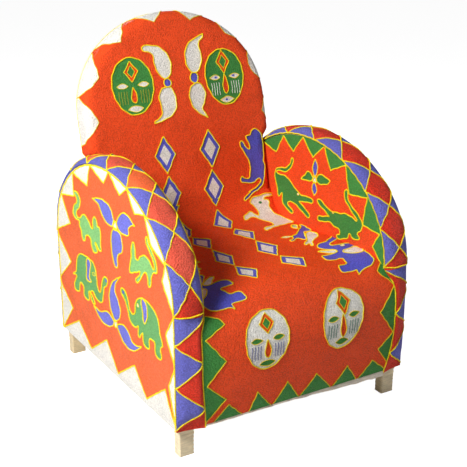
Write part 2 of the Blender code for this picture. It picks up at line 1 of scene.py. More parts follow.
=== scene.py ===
# %% [markdown]
# # Dressing a beaded armchair
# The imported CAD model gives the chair's boards, legs, rails and pads at their real size.
# This lesson sews the beaded cloths over them, adds the plain cream cloth and the studio,
# and leaves every board where the frame puts it.
# Each cloth is drawn flat, in metres, and then laid on the chair by a small function,
# because a real sewer also beads the cloth on a table before it is stretched over the wood.

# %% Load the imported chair
import math
import random

import bmesh
import bpy
import numpy as np
from mathutils import Matrix, Vector
from mathutils.geometry import delaunay_2d_cdt
from mathutils.kdtree import KDTree


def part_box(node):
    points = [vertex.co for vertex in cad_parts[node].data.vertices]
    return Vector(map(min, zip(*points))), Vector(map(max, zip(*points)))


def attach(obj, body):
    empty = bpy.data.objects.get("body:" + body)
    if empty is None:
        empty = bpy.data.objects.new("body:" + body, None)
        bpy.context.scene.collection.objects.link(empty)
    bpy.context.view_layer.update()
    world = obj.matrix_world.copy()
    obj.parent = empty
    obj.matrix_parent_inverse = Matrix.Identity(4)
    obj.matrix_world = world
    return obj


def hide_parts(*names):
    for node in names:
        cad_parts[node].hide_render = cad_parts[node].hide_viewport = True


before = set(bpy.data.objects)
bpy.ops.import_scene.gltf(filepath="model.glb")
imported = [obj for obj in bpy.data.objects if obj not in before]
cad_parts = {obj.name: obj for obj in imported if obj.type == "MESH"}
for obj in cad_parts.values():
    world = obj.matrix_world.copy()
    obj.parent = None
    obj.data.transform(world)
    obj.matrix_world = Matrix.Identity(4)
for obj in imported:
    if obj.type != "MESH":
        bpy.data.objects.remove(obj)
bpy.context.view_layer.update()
random.seed(7)

# %% [markdown]
# ## Measures
# The cloths lie on the same surfaces as the CAD covers, so their main sizes come from the covers' boxes.
# The few that no box can show, such as where the arch of an arm springs, are repeated here by name.
# Depths are measured from the front seam of the arms, heights from the floor.

# %% Sizes of the arms
MILLI = 0.001
COVER = 0.0035
outer_low, outer_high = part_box("left_arm_outer_cover")
band_low, band_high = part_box("left_arm_band_cover")
EDGE_GAP = 0.0038
SEAM_Y = outer_low.y - EDGE_GAP
ARM_DEPTH = outer_high.y - outer_low.y + 2 * EDGE_GAP
OUTER_X = -band_low.x
INNER_X = -band_high.x
ARM_FOOT = band_low.z
ARM_SPRING = 0.414
ARM_RISE = outer_high.z + EDGE_GAP - ARM_SPRING
BAND_CROWN = band_high.z - ARM_SPRING - ARM_RISE
BAND_POWER = 3.5
BAND_FADE = 0.070
SIDES = {"left": -1, "right": 1}
print("arm", round(ARM_DEPTH, 4), "deep,", round(OUTER_X - INNER_X, 4), "thick, rise", round(ARM_RISE, 4))

# %% Sizes of the seat and the back
seat_low, seat_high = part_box("seat_cover")
SEAT_HALF = seat_high.x
DECK_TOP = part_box("seat_deck")[1].z
SEAT_SIDE = 0.410
SEAT_CROWN = 0.020
ARM_LIFT = 0.022
ARM_SINK = 0.009
ARM_LIFT_START = 0.180
APRON_FOOT = seat_low.z
APRON_FRONT = SEAM_Y - seat_low.y
APRON_SWELL = 0.280
APRON_TUCK = 0.034
APRON_BOW = 0.017
APRON_POWER = 2.5
APRON_SHOULDER = 0.5
APRON_EDGE_FOOT = 0.300
APRON_EDGE = 0.311
APRON_WIDENS = 0.16
SPREAD_START = 0.006
SPREAD_FADE = 0.024
NOSE = 0.075
CREASE = 0.085
CREASE_FLAT = 0.55
CREASE_STEEP = 0.45
BACK_SEAM = 0.172
BACK_SEAM_SIDE = 0.010
RECLINE = math.radians(13.5)
BACK_STAND = 0.586
BACK_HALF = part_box("back_front_cover")[1].x
BACK_SPRING = 0.4685
BACK_RISE = 0.285
BACK_FLARE = 0.032
BACK_WAIST = 0.336
RIM = 0.030
RIM_REAR = -0.012
ROUNDING = 0.030
BACK_CROWN = 0.014
print("seat", round(2 * SEAT_HALF, 4), "wide, back", round(2 * BACK_HALF, 4), "wide")

# %% [markdown]
# ## Drawing outlines
# Every motif is a closed outline on the flat cloth.
# An animal is a smooth curve through given points; where a point carries a third number the curve
# keeps a sharp corner there.
# Ovals, lenses and drops are formulas, because a formula stays round at any size.

# %% Outline helpers


def ease(share):
    share = min(max(share, 0.0), 1.0)
    return share * share * (3 - 2 * share)


def straight(points):
    """A closed outline with straight sides, from points in millimetres."""
    return [Vector(point) * MILLI for point in points]


def drawn(points, steps=5):
    """A closed smooth outline through points in millimetres; a third number keeps a corner."""
    spots = [Vector(point[:2]) * MILLI for point in points]
    sharp = [len(point) > 2 for point in points]
    count = len(spots)
    line = []
    for k in range(count):
        here, after = spots[k], spots[(k + 1) % count]
        span = after - here
        leave = span if sharp[k] else (after - spots[k - 1]).normalized() * span.length
        beyond = spots[(k + 2) % count] - here
        arrive = span if sharp[(k + 1) % count] else beyond.normalized() * span.length
        for step in range(steps):
            t = step / steps
            spot = here * (2 * t ** 3 - 3 * t ** 2 + 1) + after * (3 * t ** 2 - 2 * t ** 3)
            spot += leave * (t ** 3 - 2 * t ** 2 + t) + arrive * (t ** 3 - t ** 2)
            line.append(spot)
    return line


def oval(centre, half_width, half_height, steps=36, lean=0.0):
    """An oval; lean moves its widest part up."""
    line = []
    for step in range(steps):
        turn = 2 * math.pi * step / steps
        width = half_width * math.sin(turn) * (1 + lean * math.cos(turn))
        line.append(Vector((centre[0] + width, centre[1] + half_height * math.cos(turn))))
    return line


def lens(centre, half_width, half_height, steps=10):
    """An almond shape with its points to the sides."""
    line = []
    for sign in (1, -1):
        for step in range(steps):
            share = sign * (2 * step / steps - 1)
            height = sign * half_height * (1 - share * share)
            line.append(Vector((centre[0] + half_width * share, centre[1] + height)))
    return line


def drop(centre, half_width, half_height, steps=20):
    """A teardrop with its point up; the fullness brings its widest part to the half width."""
    fullness = 1.3
    line = []
    for step in range(steps):
        turn = 2 * math.pi * step / steps
        width = half_width * math.sin(turn) * math.sin(turn / 2) * fullness
        line.append(Vector((centre[0] + width, centre[1] + half_height * math.cos(turn))))
    return line


def diamond(centre, half_width, half_height):
    x, y = centre
    return [Vector((x, y + half_height)), Vector((x + half_width, y)),
            Vector((x, y - half_height)), Vector((x - half_width, y))]


def rectangle(left, low, right, high):
    return [Vector(corner) for corner in ((left, low), (right, low), (right, high), (left, high))]


def flipped(outline):
    """The same outline turned left to right."""
    return [Vector((-spot.x, spot.y)) for spot in outline]


def moved(outline, x, y):
    return [Vector((spot.x + x, spot.y + y)) for spot in outline]


def spaced(outline, step, closed=True):
    """The outline with extra points, so that no two are further apart than step."""
    line = []
    last = len(outline) if closed else len(outline) - 1
    for k in range(last):
        here, after = outline[k], outline[(k + 1) % len(outline)]
        pieces = max(1, math.ceil((after - here).length / step))
        line += [here.lerp(after, piece / pieces) for piece in range(pieces)]
    if not closed:
        line.append(outline[-1])
    return line


def within(outline, spots):
    """Which rows of an array of spots lie inside a closed outline, by counting crossings."""
    edge = np.array([tuple(spot) for spot in outline])
    found = np.zeros(len(spots), bool)
    near = np.all((spots >= edge.min(0)) & (spots <= edge.max(0)), axis=1)
    x, y = spots[near, 0], spots[near, 1]
    odd = np.zeros(len(x), bool)
    last = edge[-1]
    for here in edge:
        crossing = (here[1] > y) != (last[1] > y)
        rise = last[1] - here[1]
        if crossing.any():
            odd ^= crossing & (x < (last[0] - here[0]) * (y - here[1]) / rise + here[0])
        last = here
    found[near] = odd
    return found


print("an oval of 36 points starts at", tuple(oval((0, 0), 0.02, 0.03)[0]))

# %% [markdown]
# ## Bead finishes
# The cloth is covered with rows of small glass beads, each a little lighter or darker than its neighbour.
# Modelling all of them would take a million spheres, so the flat fields get their beads from a node group:
# a Voronoi pattern on the cloth's own flat layout, one cell to a bead.
# Two slower noises lift and sink the rows, because cloth sewn by hand is never quite even. The finer one
# also darkens the colour in the hollows, and the colour darkens in the gaps between beads: both are painted
# shade.
# The group gives a colour, a roughness and a height; the shader itself stays in each material.

# %% Node helpers


def add_node(tree, kind, place=(0, 0), **settings):
    node = tree.nodes.new(kind)
    node.location = place
    for name, value in settings.items():
        setattr(node, name, value)
    return node


def calculate(tree, operation, first, second=None, clamp=False):
    """A Math node; first and second are sockets or numbers."""
    node = add_node(tree, "ShaderNodeMath", operation=operation, use_clamp=clamp)
    for socket, value in zip(node.inputs, (first, second)):
        if value is None:
            continue
        if isinstance(value, (int, float)):
            socket.default_value = value
        else:
            tree.links.new(value, socket)
    return node.outputs[0]


def new_group(name, inputs, outputs):
    tree = bpy.data.node_groups.new(name, "ShaderNodeTree")
    for label, kind in inputs:
        tree.interface.new_socket(label, in_out="INPUT", socket_type=kind)
    for label, kind in outputs:
        tree.interface.new_socket(label, in_out="OUTPUT", socket_type=kind)
    start = add_node(tree, "NodeGroupInput", (-900, 0))
    end = add_node(tree, "NodeGroupOutput", (700, 0))
    return tree, start.outputs, end.inputs


def scale_colour(tree, colour, factor):
    node = add_node(tree, "ShaderNodeVectorMath", operation="SCALE")
    tree.links.new(colour, node.inputs[0])
    tree.links.new(factor, node.inputs["Scale"])
    return node.outputs[0]


def noise(tree, vector, scale, detail=2.0):
    node = add_node(tree, "ShaderNodeTexNoise")
    node.inputs["Scale"].default_value = scale
    node.inputs["Detail"].default_value = detail
    tree.links.new(vector, node.inputs["Vector"])
    return node.outputs[0]


def between(tree, value, low, high):
    """Maps a value of 0 to 1 onto low to high."""
    return calculate(tree, "ADD", calculate(tree, "MULTIPLY", value, high - low), low)


print("helpers make nodes, groups, noises and ranges")

# %% Group: rows of sewn beads
FINISH_OUTPUTS = [("Color", "NodeSocketColor"), ("Roughness", "NodeSocketFloat"),
                  ("Height", "NodeSocketFloat")]
bead_rows, start, end = new_group(
    "sewn_bead_rows",
    [("Layout", "NodeSocketVector"), ("Color", "NodeSocketColor"), ("Beads per metre", "NodeSocketFloat"),
     ("Coarseness", "NodeSocketFloat")],
    FINISH_OUTPUTS)
cells = add_node(bead_rows, "ShaderNodeTexVoronoi", (-600, 0), voronoi_dimensions="2D")
cells.inputs["Randomness"].default_value = 0.45
bead_rows.links.new(start["Layout"], cells.inputs["Vector"])
bead_rows.links.new(start["Beads per metre"], cells.inputs["Scale"])
squared = calculate(bead_rows, "MULTIPLY", cells.outputs["Distance"], cells.outputs["Distance"])
dome = calculate(bead_rows, "SUBTRACT", 1.0, calculate(bead_rows, "MULTIPLY", squared, 2.2), clamp=True)
chance = add_node(bead_rows, "ShaderNodeSeparateColor", (-300, 200))
bead_rows.links.new(cells.outputs["Color"], chance.inputs[0])
each_bead = between(bead_rows, chance.outputs[0], 0.88, 1.12)
wear = between(bead_rows, noise(bead_rows, start["Layout"], 14.0), 0.88, 1.12)
# Painted shade: each bead's colour darkens towards the edge of its cell, a painted shadow in the gaps
# between beads.
gap_painted_shade = between(bead_rows, dome, 0.82, 1.08)
lumps = noise(bead_rows, start["Layout"], 220.0, 3.0)
swell = noise(bead_rows, start["Layout"], 26.0)
unevenness = calculate(bead_rows, "SUBTRACT", lumps, 0.5)
hollow = calculate(bead_rows, "MULTIPLY", unevenness, start["Coarseness"])
# Painted shade: the low spots of the finer noise darken the colour, shade painted into the hollows of the
# rows; Coarseness makes it stronger.
hollow_shade = between(bead_rows, hollow, 1.0, 1.48)
bead_shade = calculate(bead_rows, "MULTIPLY", each_bead, gap_painted_shade)
worn_shade = calculate(bead_rows, "MULTIPLY", bead_shade, wear)
shade = calculate(bead_rows, "MULTIPLY", worn_shade, hollow_shade)
bead_rows.links.new(scale_colour(bead_rows, start["Color"], shade), end["Color"])
gloss = between(bead_rows, chance.outputs[1], 0.40, 0.60)
bead_rows.links.new(gloss, end["Roughness"])
relief = calculate(bead_rows, "ADD", dome, calculate(bead_rows, "MULTIPLY", lumps, 2.4))
height = calculate(bead_rows, "ADD", relief, calculate(bead_rows, "MULTIPLY", swell, 3.5))
bead_rows.links.new(height, end["Height"])
print("group", bead_rows.name, "has", len(bead_rows.nodes), "nodes")

# %% [markdown]
# A colour is written as it looks in sRGB and turned into the linear light that Blender works with.
# The beads of every colour share the group; only the colour differs.
# The strings along the motifs are real little spheres.
# Their glass needs no bump, just a slow change of tone.

# %% Bead materials


def linear(red, green, blue):
    light = []
    for value in (red, green, blue):
        value /= 255
        light.append(value / 12.92 if value < 0.04045 else ((value + 0.055) / 1.055) ** 2.4)
    return (*light, 1.0)


def new_material(name):
    material = bpy.data.materials.new(name)
    material.use_nodes = True
    shader = material.node_tree.nodes["Principled BSDF"]
    return material, material.node_tree, shader


def use_group(tree, shader, group, vector, values, bump, depth):
    """Places a finish group in a material and wires its outputs to the shader."""
    finish = add_node(tree, "ShaderNodeGroup", (-500, 0), node_tree=group)
    tree.links.new(vector, finish.inputs[0])
    for label, value in values.items():
        finish.inputs[label].default_value = value
    relief = add_node(tree, "ShaderNodeBump", (-250, -200))
    relief.inputs["Strength"].default_value = bump
    relief.inputs["Distance"].default_value = depth
    tree.links.new(finish.outputs["Height"], relief.inputs["Height"])
    tree.links.new(finish.outputs["Color"], shader.inputs["Base Color"])
    tree.links.new(finish.outputs["Roughness"], shader.inputs["Roughness"])
    tree.links.new(relief.outputs[0], shader.inputs["Normal"])


BEADS_PER_METRE = 300.0
BEAD_COLOURS = {
    "field": linear(252, 82, 32),
    # Painted sheen: a paler orange for the brightly lit outer arms and for some diamonds of the left band.
    "sheen_orange": linear(253, 112, 63),
    "red": linear(246, 64, 42),
    # Painted sheen: a paler red for the diamonds of the lit left band.
    "sheen_red": linear(253, 102, 78),
    "white": linear(248, 245, 237),
    "blue": linear(95, 97, 216),
    "sky": linear(122, 125, 230),
    "dusk": linear(118, 119, 214),
    "green": linear(68, 146, 68),
    "grass": linear(112, 180, 108),
    "leaf": linear(144, 210, 130),
    "yellow": linear(250, 228, 2),
}
STRING_COLOURS = {
    "yellow": BEAD_COLOURS["yellow"],
    "gold": linear(234, 206, 4),
    "white": BEAD_COLOURS["white"],
    "slate": linear(70, 72, 138),
    "teal": linear(44, 110, 86),
    "olive": linear(176, 172, 40),
}
BAND_COLOURS = ("red", "sheen_red", "dusk")
BAND_COARSENESS = 1.8
BEAD_RELIEF = 0.0016


def beaded(colour):
    coarse = BAND_COARSENESS if colour in BAND_COLOURS else 1.0
    material, tree, shader = new_material(f"{colour}_sewn_beads")
    layout = add_node(tree, "ShaderNodeUVMap", (-750, 0), uv_map="layout")
    values = {"Color": BEAD_COLOURS[colour], "Beads per metre": BEADS_PER_METRE, "Coarseness": coarse}
    use_group(tree, shader, bead_rows, layout.outputs[0], values, bump=0.9, depth=BEAD_RELIEF * coarse)
    shader.inputs["Specular IOR Level"].default_value = 0.16
    return material


def glass(colour):
    material, tree, shader = new_material(f"{colour}_string_beads")
    place = add_node(tree, "ShaderNodeTexCoord", (-900, 0))
    tone = between(tree, noise(tree, place.outputs["Object"], 260.0, 0.0), 0.80, 1.16)
    base = add_node(tree, "ShaderNodeRGB", (-600, -200))
    base.outputs[0].default_value = STRING_COLOURS[colour]
    tree.links.new(scale_colour(tree, base.outputs[0], tone), shader.inputs["Base Color"])
    shader.inputs["Roughness"].default_value = 0.40
    shader.inputs["Specular IOR Level"].default_value = 0.35
    return material


sewn = {colour: beaded(colour) for colour in BEAD_COLOURS}
strung = {colour: glass(colour) for colour in STRING_COLOURS}
print("made", len(sewn), "sewn and", len(strung), "strung bead materials")

# %% [markdown]
# ## Cream cloth
# The hem, the wrapped legs and the linings are plain cream cotton: threads going over and under each other.
# A checker picks which thread lies on top, and a half sine gives each thread its round back.
# Some yellowed patches come from a slow noise, and the folds of the wrapping from one stretched sideways;
# the same noise darkens the colour along the folds, a painted shade in the creases.

# %% Group: plain weave
weave, start, end = new_group(
    "plain_weave",
    [("Layout", "NodeSocketVector"), ("Color", "NodeSocketColor"),
     ("Threads per metre", "NodeSocketFloat")],
    FINISH_OUTPUTS)
threads = scale_colour(weave, start["Layout"], start["Threads per metre"])
axes = add_node(weave, "ShaderNodeSeparateXYZ")
weave.links.new(threads, axes.inputs[0])
warp_turn = calculate(weave, "MULTIPLY", axes.outputs[0], math.pi)
weft_turn = calculate(weave, "MULTIPLY", axes.outputs[1], math.pi)
warp = calculate(weave, "ABSOLUTE", calculate(weave, "SINE", warp_turn))
weft = calculate(weave, "ABSOLUTE", calculate(weave, "SINE", weft_turn))
over = add_node(weave, "ShaderNodeTexChecker")
over.inputs["Scale"].default_value = 1.0
weave.links.new(threads, over.inputs["Vector"])
over_warp = calculate(weave, "MULTIPLY", warp, over.outputs["Fac"])
over_weft = calculate(weave, "MULTIPLY", weft, calculate(weave, "SUBTRACT", 1.0, over.outputs["Fac"]))
yarn = calculate(weave, "ADD", over_warp, over_weft)
stain = between(weave, noise(weave, start["Layout"], 38.0, 4.0), 0.66, 1.20)
sideways = add_node(weave, "ShaderNodeMapping")
sideways.inputs["Scale"].default_value = (22.0, 230.0, 1.0)
weave.links.new(start["Layout"], sideways.inputs["Vector"])
fold = noise(weave, sideways.outputs[0], 1.0, 3.0)
# The yellowed patches are stains; the darkening along the folds is painted shade in the creases.
stain_and_fold_shade = calculate(weave, "MULTIPLY", stain, between(weave, fold, 0.62, 1.42))
shade = calculate(weave, "MULTIPLY", between(weave, yarn, 0.80, 1.0), stain_and_fold_shade)
weave.links.new(scale_colour(weave, start["Color"], shade), end["Color"])
weave.links.new(between(weave, yarn, 0.95, 0.80), end["Roughness"])
weave.links.new(calculate(weave, "ADD", yarn, calculate(weave, "MULTIPLY", fold, 6.0)), end["Height"])
THREADS_PER_METRE = 900.0


def cotton(name, colour):
    material, tree, shader = new_material(name)
    layout = add_node(tree, "ShaderNodeUVMap", (-750, 0), uv_map="layout")
    values = {"Color": colour, "Threads per metre": THREADS_PER_METRE}
    use_group(tree, shader, weave, layout.outputs[0], values, bump=0.5, depth=0.0004)
    shader.inputs["Specular IOR Level"].default_value = 0.2
    shader.inputs["Sheen Weight"].default_value = 0.15
    return material


cream = cotton("cream_cotton", linear(252, 234, 196))
# Painted shade: a darker copy of the cream for the rear legs, which stand in shade under the chair.
rear_leg_shade_cream = cotton("rear_leg_shade_cotton", linear(236, 214, 172))
hemmed = cotton("hem_cotton", linear(250, 238, 220))
lining = cotton("lining_cotton", linear(206, 196, 176))
print("group", weave.name, "has", len(weave.nodes), "nodes")

# %% [markdown]
# ## Sewing a cloth
# A cloth keeps its border, its coloured patches and its bead strings, all on the flat layout.
# To become a mesh the outlines have to be cut into it, so that every colour ends exactly at its string.
# A constrained Delaunay fill does that in one go: it takes all outlines and loose points between them and
# returns triangles that never cross an outline. A grid would leave stepped edges or need far more faces.
# Then each corner is laid on the chair, and a Solidify modifier gives the cloth its thickness and lining.

# %% The cloth
COLOURS = list(BEAD_COLOURS)
OUTLINE_STEP = 0.006
STRING_STEP = 0.002
ROW_SHARE = 0.87
CLEAR_SHARE = 0.38
MERGE = 1e-5
STRING_BEAD = 0.0023
SEAT_STRING = 0.0021
APRON_STRING = 0.0018
FINE_BEAD = 0.0010
BEAD_PITCH = 1.75
BEAD_STAND = (0.25, 0.45)
BEAD_SPREAD = (0.94, 1.06)
STRING_SWAY = 0.0006
SWAY_WAVES = (190, 163)


class Cloth:
    """One cut of cloth: a flat border, a lift onto the chair, patches of colour and strings of beads."""

    def __init__(self, name, border, lift, colour, outward, spacing=0.012, thick=COVER, bead=STRING_BEAD):
        self.name = name
        self.bead = bead
        self.edging = "yellow"
        self.border = border
        self.lift = lift
        self.colour = colour
        self.spacing = spacing
        self.thick = thick
        self.extra = []
        self.patches = []
        self.strings = []
        edge = np.array([tuple(spot) for spot in border])
        self.low, self.high = edge.min(0), edge.max(0)
        self.facing = 1
        middle = Vector((self.low + self.high) / 2)
        if self.normal(middle).dot(Vector(outward)) < 0:
            self.facing = -1

    def normal(self, spot, reach=0.0015):
        across = self.lift(spot + Vector((reach, 0))) - self.lift(spot - Vector((reach, 0)))
        along = self.lift(spot + Vector((0, reach))) - self.lift(spot - Vector((0, reach)))
        return across.cross(along).normalized() * self.facing

    def patch(self, colour, outline, edged=True, bead=None):
        """A patch of one colour; when edged, a closed string of beads goes round it."""
        self.patches.append((colour, outline))
        if edged:
            self.string(outline + outline[:1], bead=bead)

    def string(self, line, colour=None, bead=None):
        """A string of beads along an open line."""
        dense = spaced(line, STRING_STEP, closed=False)
        self.strings.append((colour or self.edging, bead or self.bead, dense))


def loose_points(cloth, outline_points):
    """Points between the outlines, in staggered rows, kept off the outlines themselves."""
    tree = KDTree(len(outline_points))
    for k, spot in enumerate(outline_points):
        tree.insert((spot.x, spot.y, 0), k)
    tree.balance()
    rows = []
    step = cloth.spacing
    for row in range(int((cloth.high[1] - cloth.low[1]) / (step * ROW_SHARE)) + 1):
        shift = step / 2 * (row % 2)
        for column in range(int((cloth.high[0] - cloth.low[0]) / step) + 1):
            rows.append((cloth.low[0] + shift + column * step, cloth.low[1] + row * step * ROW_SHARE))
    rows = np.array(rows + cloth.extra)
    rows = rows[within(cloth.border, rows)]
    return [Vector(spot) for spot in rows if tree.find((*spot, 0))[2] > CLEAR_SHARE * step]


print("cloths can use", len(COLOURS), "bead colours")


# %% Cutting and laying a cloth


def ride_piece(name, data):
    """Links a mesh as a piece that rides on the chair."""
    piece = bpy.data.objects.new(name, data)
    bpy.context.scene.collection.objects.link(piece)
    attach(piece, "root")
    return piece


def cut_faces(cloth):
    """The cloth's flat corners, its triangles, and the colour number of each triangle."""
    corners = []
    edges = []
    for outline in [cloth.border] + [outline for _, outline in cloth.patches]:
        line = spaced(outline, min(OUTLINE_STEP, cloth.spacing))
        first = len(corners)
        edges += [(first + k, first + (k + 1) % len(line)) for k in range(len(line))]
        corners += line
    corners += loose_points(cloth, corners)
    spots, _, faces, *_ = delaunay_2d_cdt(corners, edges, [], 0, MERGE)
    flat = np.array([tuple(spot) for spot in spots])
    middles = np.array([flat[list(face)].mean(0) for face in faces])
    numbers = np.full(len(faces), COLOURS.index(cloth.colour) if cloth.colour in COLOURS else 0)
    for colour, outline in cloth.patches:
        numbers[within(outline, middles)] = COLOURS.index(colour)
    kept = np.nonzero(within(cloth.border, middles))[0]
    return spots, [faces[k] for k in kept], numbers[kept]


def sew(cloth, finishes, back_finish):
    """Makes the cloth's mesh: cut flat, laid on the chair, given thickness."""
    spots, faces, numbers = cut_faces(cloth)
    bm = bmesh.new()
    layout = bm.loops.layers.uv.new("layout")
    dots = [bm.verts.new(cloth.lift(Vector(spot))) for spot in spots]
    for face, number in zip(faces, numbers):
        order = face if cloth.facing > 0 else face[::-1]
        made = bm.faces.new([dots[corner] for corner in order])
        made.material_index = int(number)
        made.smooth = True
        for loop, corner in zip(made.loops, order):
            loop[layout].uv = spots[corner]
    bmesh.ops.delete(bm, geom=[dot for dot in bm.verts if not dot.link_faces], context="VERTS")
    bmesh.ops.remove_doubles(bm, verts=bm.verts[:], dist=MERGE)
    for edge in bm.edges:
        edge.smooth = not edge.is_boundary
    data = bpy.data.meshes.new(cloth.name)
    bm.to_mesh(data)
    bm.free()
    for finish in finishes + [back_finish]:
        data.materials.append(finish)
    piece = ride_piece(cloth.name, data)
    wall = piece.modifiers.new("cloth_thickness", "SOLIDIFY")
    wall.thickness = cloth.thick
    wall.offset = -1
    wall.material_offset = len(finishes)
    return piece


print("outlines are cut in steps of", OUTLINE_STEP, "m")

# %% Stringing the outlines


def bead_places(cloth, line, bead):
    """Where the beads of one string sit: evenly along it, a little unsteady, half sunk in the cloth."""
    flat = np.array([tuple(spot) for spot in line])
    places = np.array([cloth.lift(spot) for spot in line])
    run = np.concatenate([[0], np.cumsum(np.linalg.norm(np.diff(places, axis=0), axis=1))])
    count = max(2, round(run[-1] / (BEAD_PITCH * bead)))
    goals = (np.arange(count) + 0.5) * run[-1] / count
    spots = np.stack([np.interp(goals, run, flat[:, 0]), np.interp(goals, run, flat[:, 1])], axis=1)
    phase = random.uniform(0, 2 * math.pi)
    waves = [np.sin(goals * wave + (k + 1) * phase) for k, wave in enumerate(SWAY_WAVES)]
    sway = np.stack(waves, axis=1) * STRING_SWAY
    kept = within(cloth.border, spots + sway)
    spots[kept] += sway[kept]
    spots = spots[within(cloth.border, spots)]
    centres = []
    for spot in spots:
        spot = Vector(spot)
        centres.append(cloth.lift(spot) + cloth.normal(spot) * bead * random.uniform(*BEAD_STAND))
    return centres


def thread(cloth):
    """All of a cloth's bead strings as one piece of small spheres."""
    bm = bmesh.new()
    tints = list(strung)
    for colour, bead, line in cloth.strings:
        string = bmesh.new()
        for centre in bead_places(cloth, line, bead):
            size = bead * random.uniform(*BEAD_SPREAD)
            place = Matrix.Translation(centre)
            bmesh.ops.create_icosphere(string, subdivisions=1, radius=size, matrix=place)
        for face in string.faces:
            face.smooth = True
            face.material_index = tints.index(colour)
        part = bpy.data.meshes.new("string")
        string.to_mesh(part)
        string.free()
        bm.from_mesh(part)
        bpy.data.meshes.remove(part)
    data = bpy.data.meshes.new(f"{cloth.name}_strings")
    bm.to_mesh(data)
    bm.free()
    for tint in tints:
        data.materials.append(strung[tint])
    return ride_piece(f"{cloth.name}_strings", data)


def finish_beadwork(cloth, nodes):
    """Sews a beaded cloth and its strings, in place of the CAD covers named."""
    piece = sew(cloth, [sewn[colour] for colour in COLOURS], lining)
    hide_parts(*nodes)
    strings = thread(cloth)
    return piece


print("string beads follow each other at", BEAD_PITCH, "radii")

# %% [markdown]
# ## How the cloths lie
# Before any cloth is sewn, its surface is described once: a lift takes a spot on the flat cloth
# to its place on the chair.
# The back leans, its top is an arch, and its cloth goes over a soft rounded edge and back along the rim.
# Flat, the rim is drawn as more cloth around the face, so the white points that stand on it
# are drawn in one go with the face.
# The lift finds how far a spot is from the edge and bends it round the corner by that distance.

# %% Lift of the back
SIDE_STEPS = 24
ROUND_STEPS = 60
ROLL = ROUNDING * math.pi / 2
RIM_REACH = ROLL - ROUNDING + RIM - RIM_REAR


def on_back(across, along, forward):
    deep = BACK_STAND + along * math.sin(RECLINE) - forward * math.cos(RECLINE)
    high = DECK_TOP + along * math.cos(RECLINE) + forward * math.sin(RECLINE)
    return Vector((across, SEAM_Y + deep, high))


def back_half(along):
    narrowing = (BACK_HALF - SEAT_HALF) * (1 - ease((along - BACK_WAIST) / BACK_FLARE))
    return BACK_HALF - narrowing


def back_reach(across, along):
    """Distance of a spot from the back's heart line, and of the edge beyond it."""
    if along <= BACK_SPRING:
        return abs(across), back_half(along)
    rise = along - BACK_SPRING
    length = math.hypot(across, rise)
    return length, length / max(math.hypot(across / BACK_HALF, rise / BACK_RISE), 1e-6)


def back_swell(inset, reach):
    """How far the face stands forward of the board, by its inset from the edge."""
    if inset < ROUNDING:
        return RIM + math.sqrt(max(0, ROUNDING ** 2 - (ROUNDING - inset) ** 2))
    return RIM + ROUNDING + BACK_CROWN * ease((inset - ROUNDING) / (reach - ROUNDING))


def back_lift(spot):
    length, reach = back_reach(spot.x, spot.y)
    beyond = ROUNDING - reach + length
    if beyond <= 0:
        return on_back(spot.x, spot.y, back_swell(reach - length, reach))
    if beyond < ROLL:
        kept = reach - ROUNDING + ROUNDING * math.sin(beyond / ROUNDING)
        forward = RIM + ROUNDING * math.cos(beyond / ROUNDING)
    else:
        kept = reach
        forward = max(RIM - (beyond - ROLL), RIM_REAR)
    heart = min(spot.y, BACK_SPRING)
    return on_back(spot.x * kept / length, heart + (spot.y - heart) * kept / length, forward)


def back_spot(angle, inset):
    """A spot by its angle round the arch and its inset from the edge; negative insets lie on the rim."""
    turn = math.radians(angle)
    reach = 1 / math.hypot(math.cos(turn) / BACK_HALF, math.sin(turn) / BACK_RISE)
    return Vector(((reach - inset) * math.cos(turn), BACK_SPRING + (reach - inset) * math.sin(turn)))


def back_border(inset, foot):
    heights = np.linspace(foot, BACK_SPRING, SIDE_STEPS)
    side = [Vector((back_half(along) - inset, along)) for along in heights]
    arch = [back_spot(180 * step / ROUND_STEPS, inset) for step in range(1, ROUND_STEPS)]
    return side + arch + flipped(reversed(side))


print("rim adds", round(RIM_REACH, 4), "to the flat back")

# %% [markdown]
# One cloth lies on the seat and falls over the front edge as an apron.
# Seen from the side it is a chain of four curves: up the apron, round the nose, along the seat,
# up to the back.
# Flat, its length is the run along the middle of that chain, starting at the apron's foot.
# In front of the arms the apron spreads a little over them, so that its edge lies flush with the bands.

# %% Lift of the seat


def seat_knots(across):
    """The side view at a place across the seat: knots and handles as (depth, height)."""
    share = across / SEAT_HALF
    front = APRON_BOW * min(abs(share), 1) ** APRON_POWER - APRON_FRONT
    foot = APRON_TUCK - APRON_FRONT
    shoulder = NOSE * (1 + APRON_SHOULDER * share ** 4)
    level = SEAT_SIDE + SEAT_CROWN * (1 - share * share)
    rise = ARM_LIFT if across > 0 else -ARM_SINK
    rise_at_arm = rise * ease((abs(across) - ARM_LIFT_START) / (SEAT_HALF - ARM_LIFT_START))
    inset = max(SEAT_HALF - abs(across), 0) + BACK_SEAM_SIDE
    seam = on_back(0, BACK_SEAM, back_swell(inset, SEAT_HALF + BACK_SEAM_SIDE))
    seam = Vector((seam.y - SEAM_Y, seam.z))
    upright = Vector((math.sin(RECLINE), math.cos(RECLINE)))
    return [(Vector((foot, APRON_FOOT)), Vector(((front - foot) / 2, NOSE / 2))),
            (Vector((front, APRON_SWELL)), Vector((0, shoulder))),
            (Vector((NOSE, level + rise_at_arm)), Vector((NOSE, 0))),
            (Vector((seam.x - CREASE, level)), Vector((CREASE * CREASE_FLAT, 0))),
            (seam, upright * CREASE * CREASE_STEEP)]


def seat_point(across, station):
    """A point of the side view; the station counts knots, so 1.5 lies halfway along the second curve."""
    knots = seat_knots(across)
    part = min(int(station), len(knots) - 2)
    (start_spot, start_handle), (end_spot, end_handle) = knots[part], knots[part + 1]
    t = station - part
    near, far = start_spot + start_handle, end_spot - end_handle
    return (start_spot * (1 - t) ** 3 + near * 3 * t * (1 - t) ** 2
            + far * 3 * t * t * (1 - t) + end_spot * t ** 3)


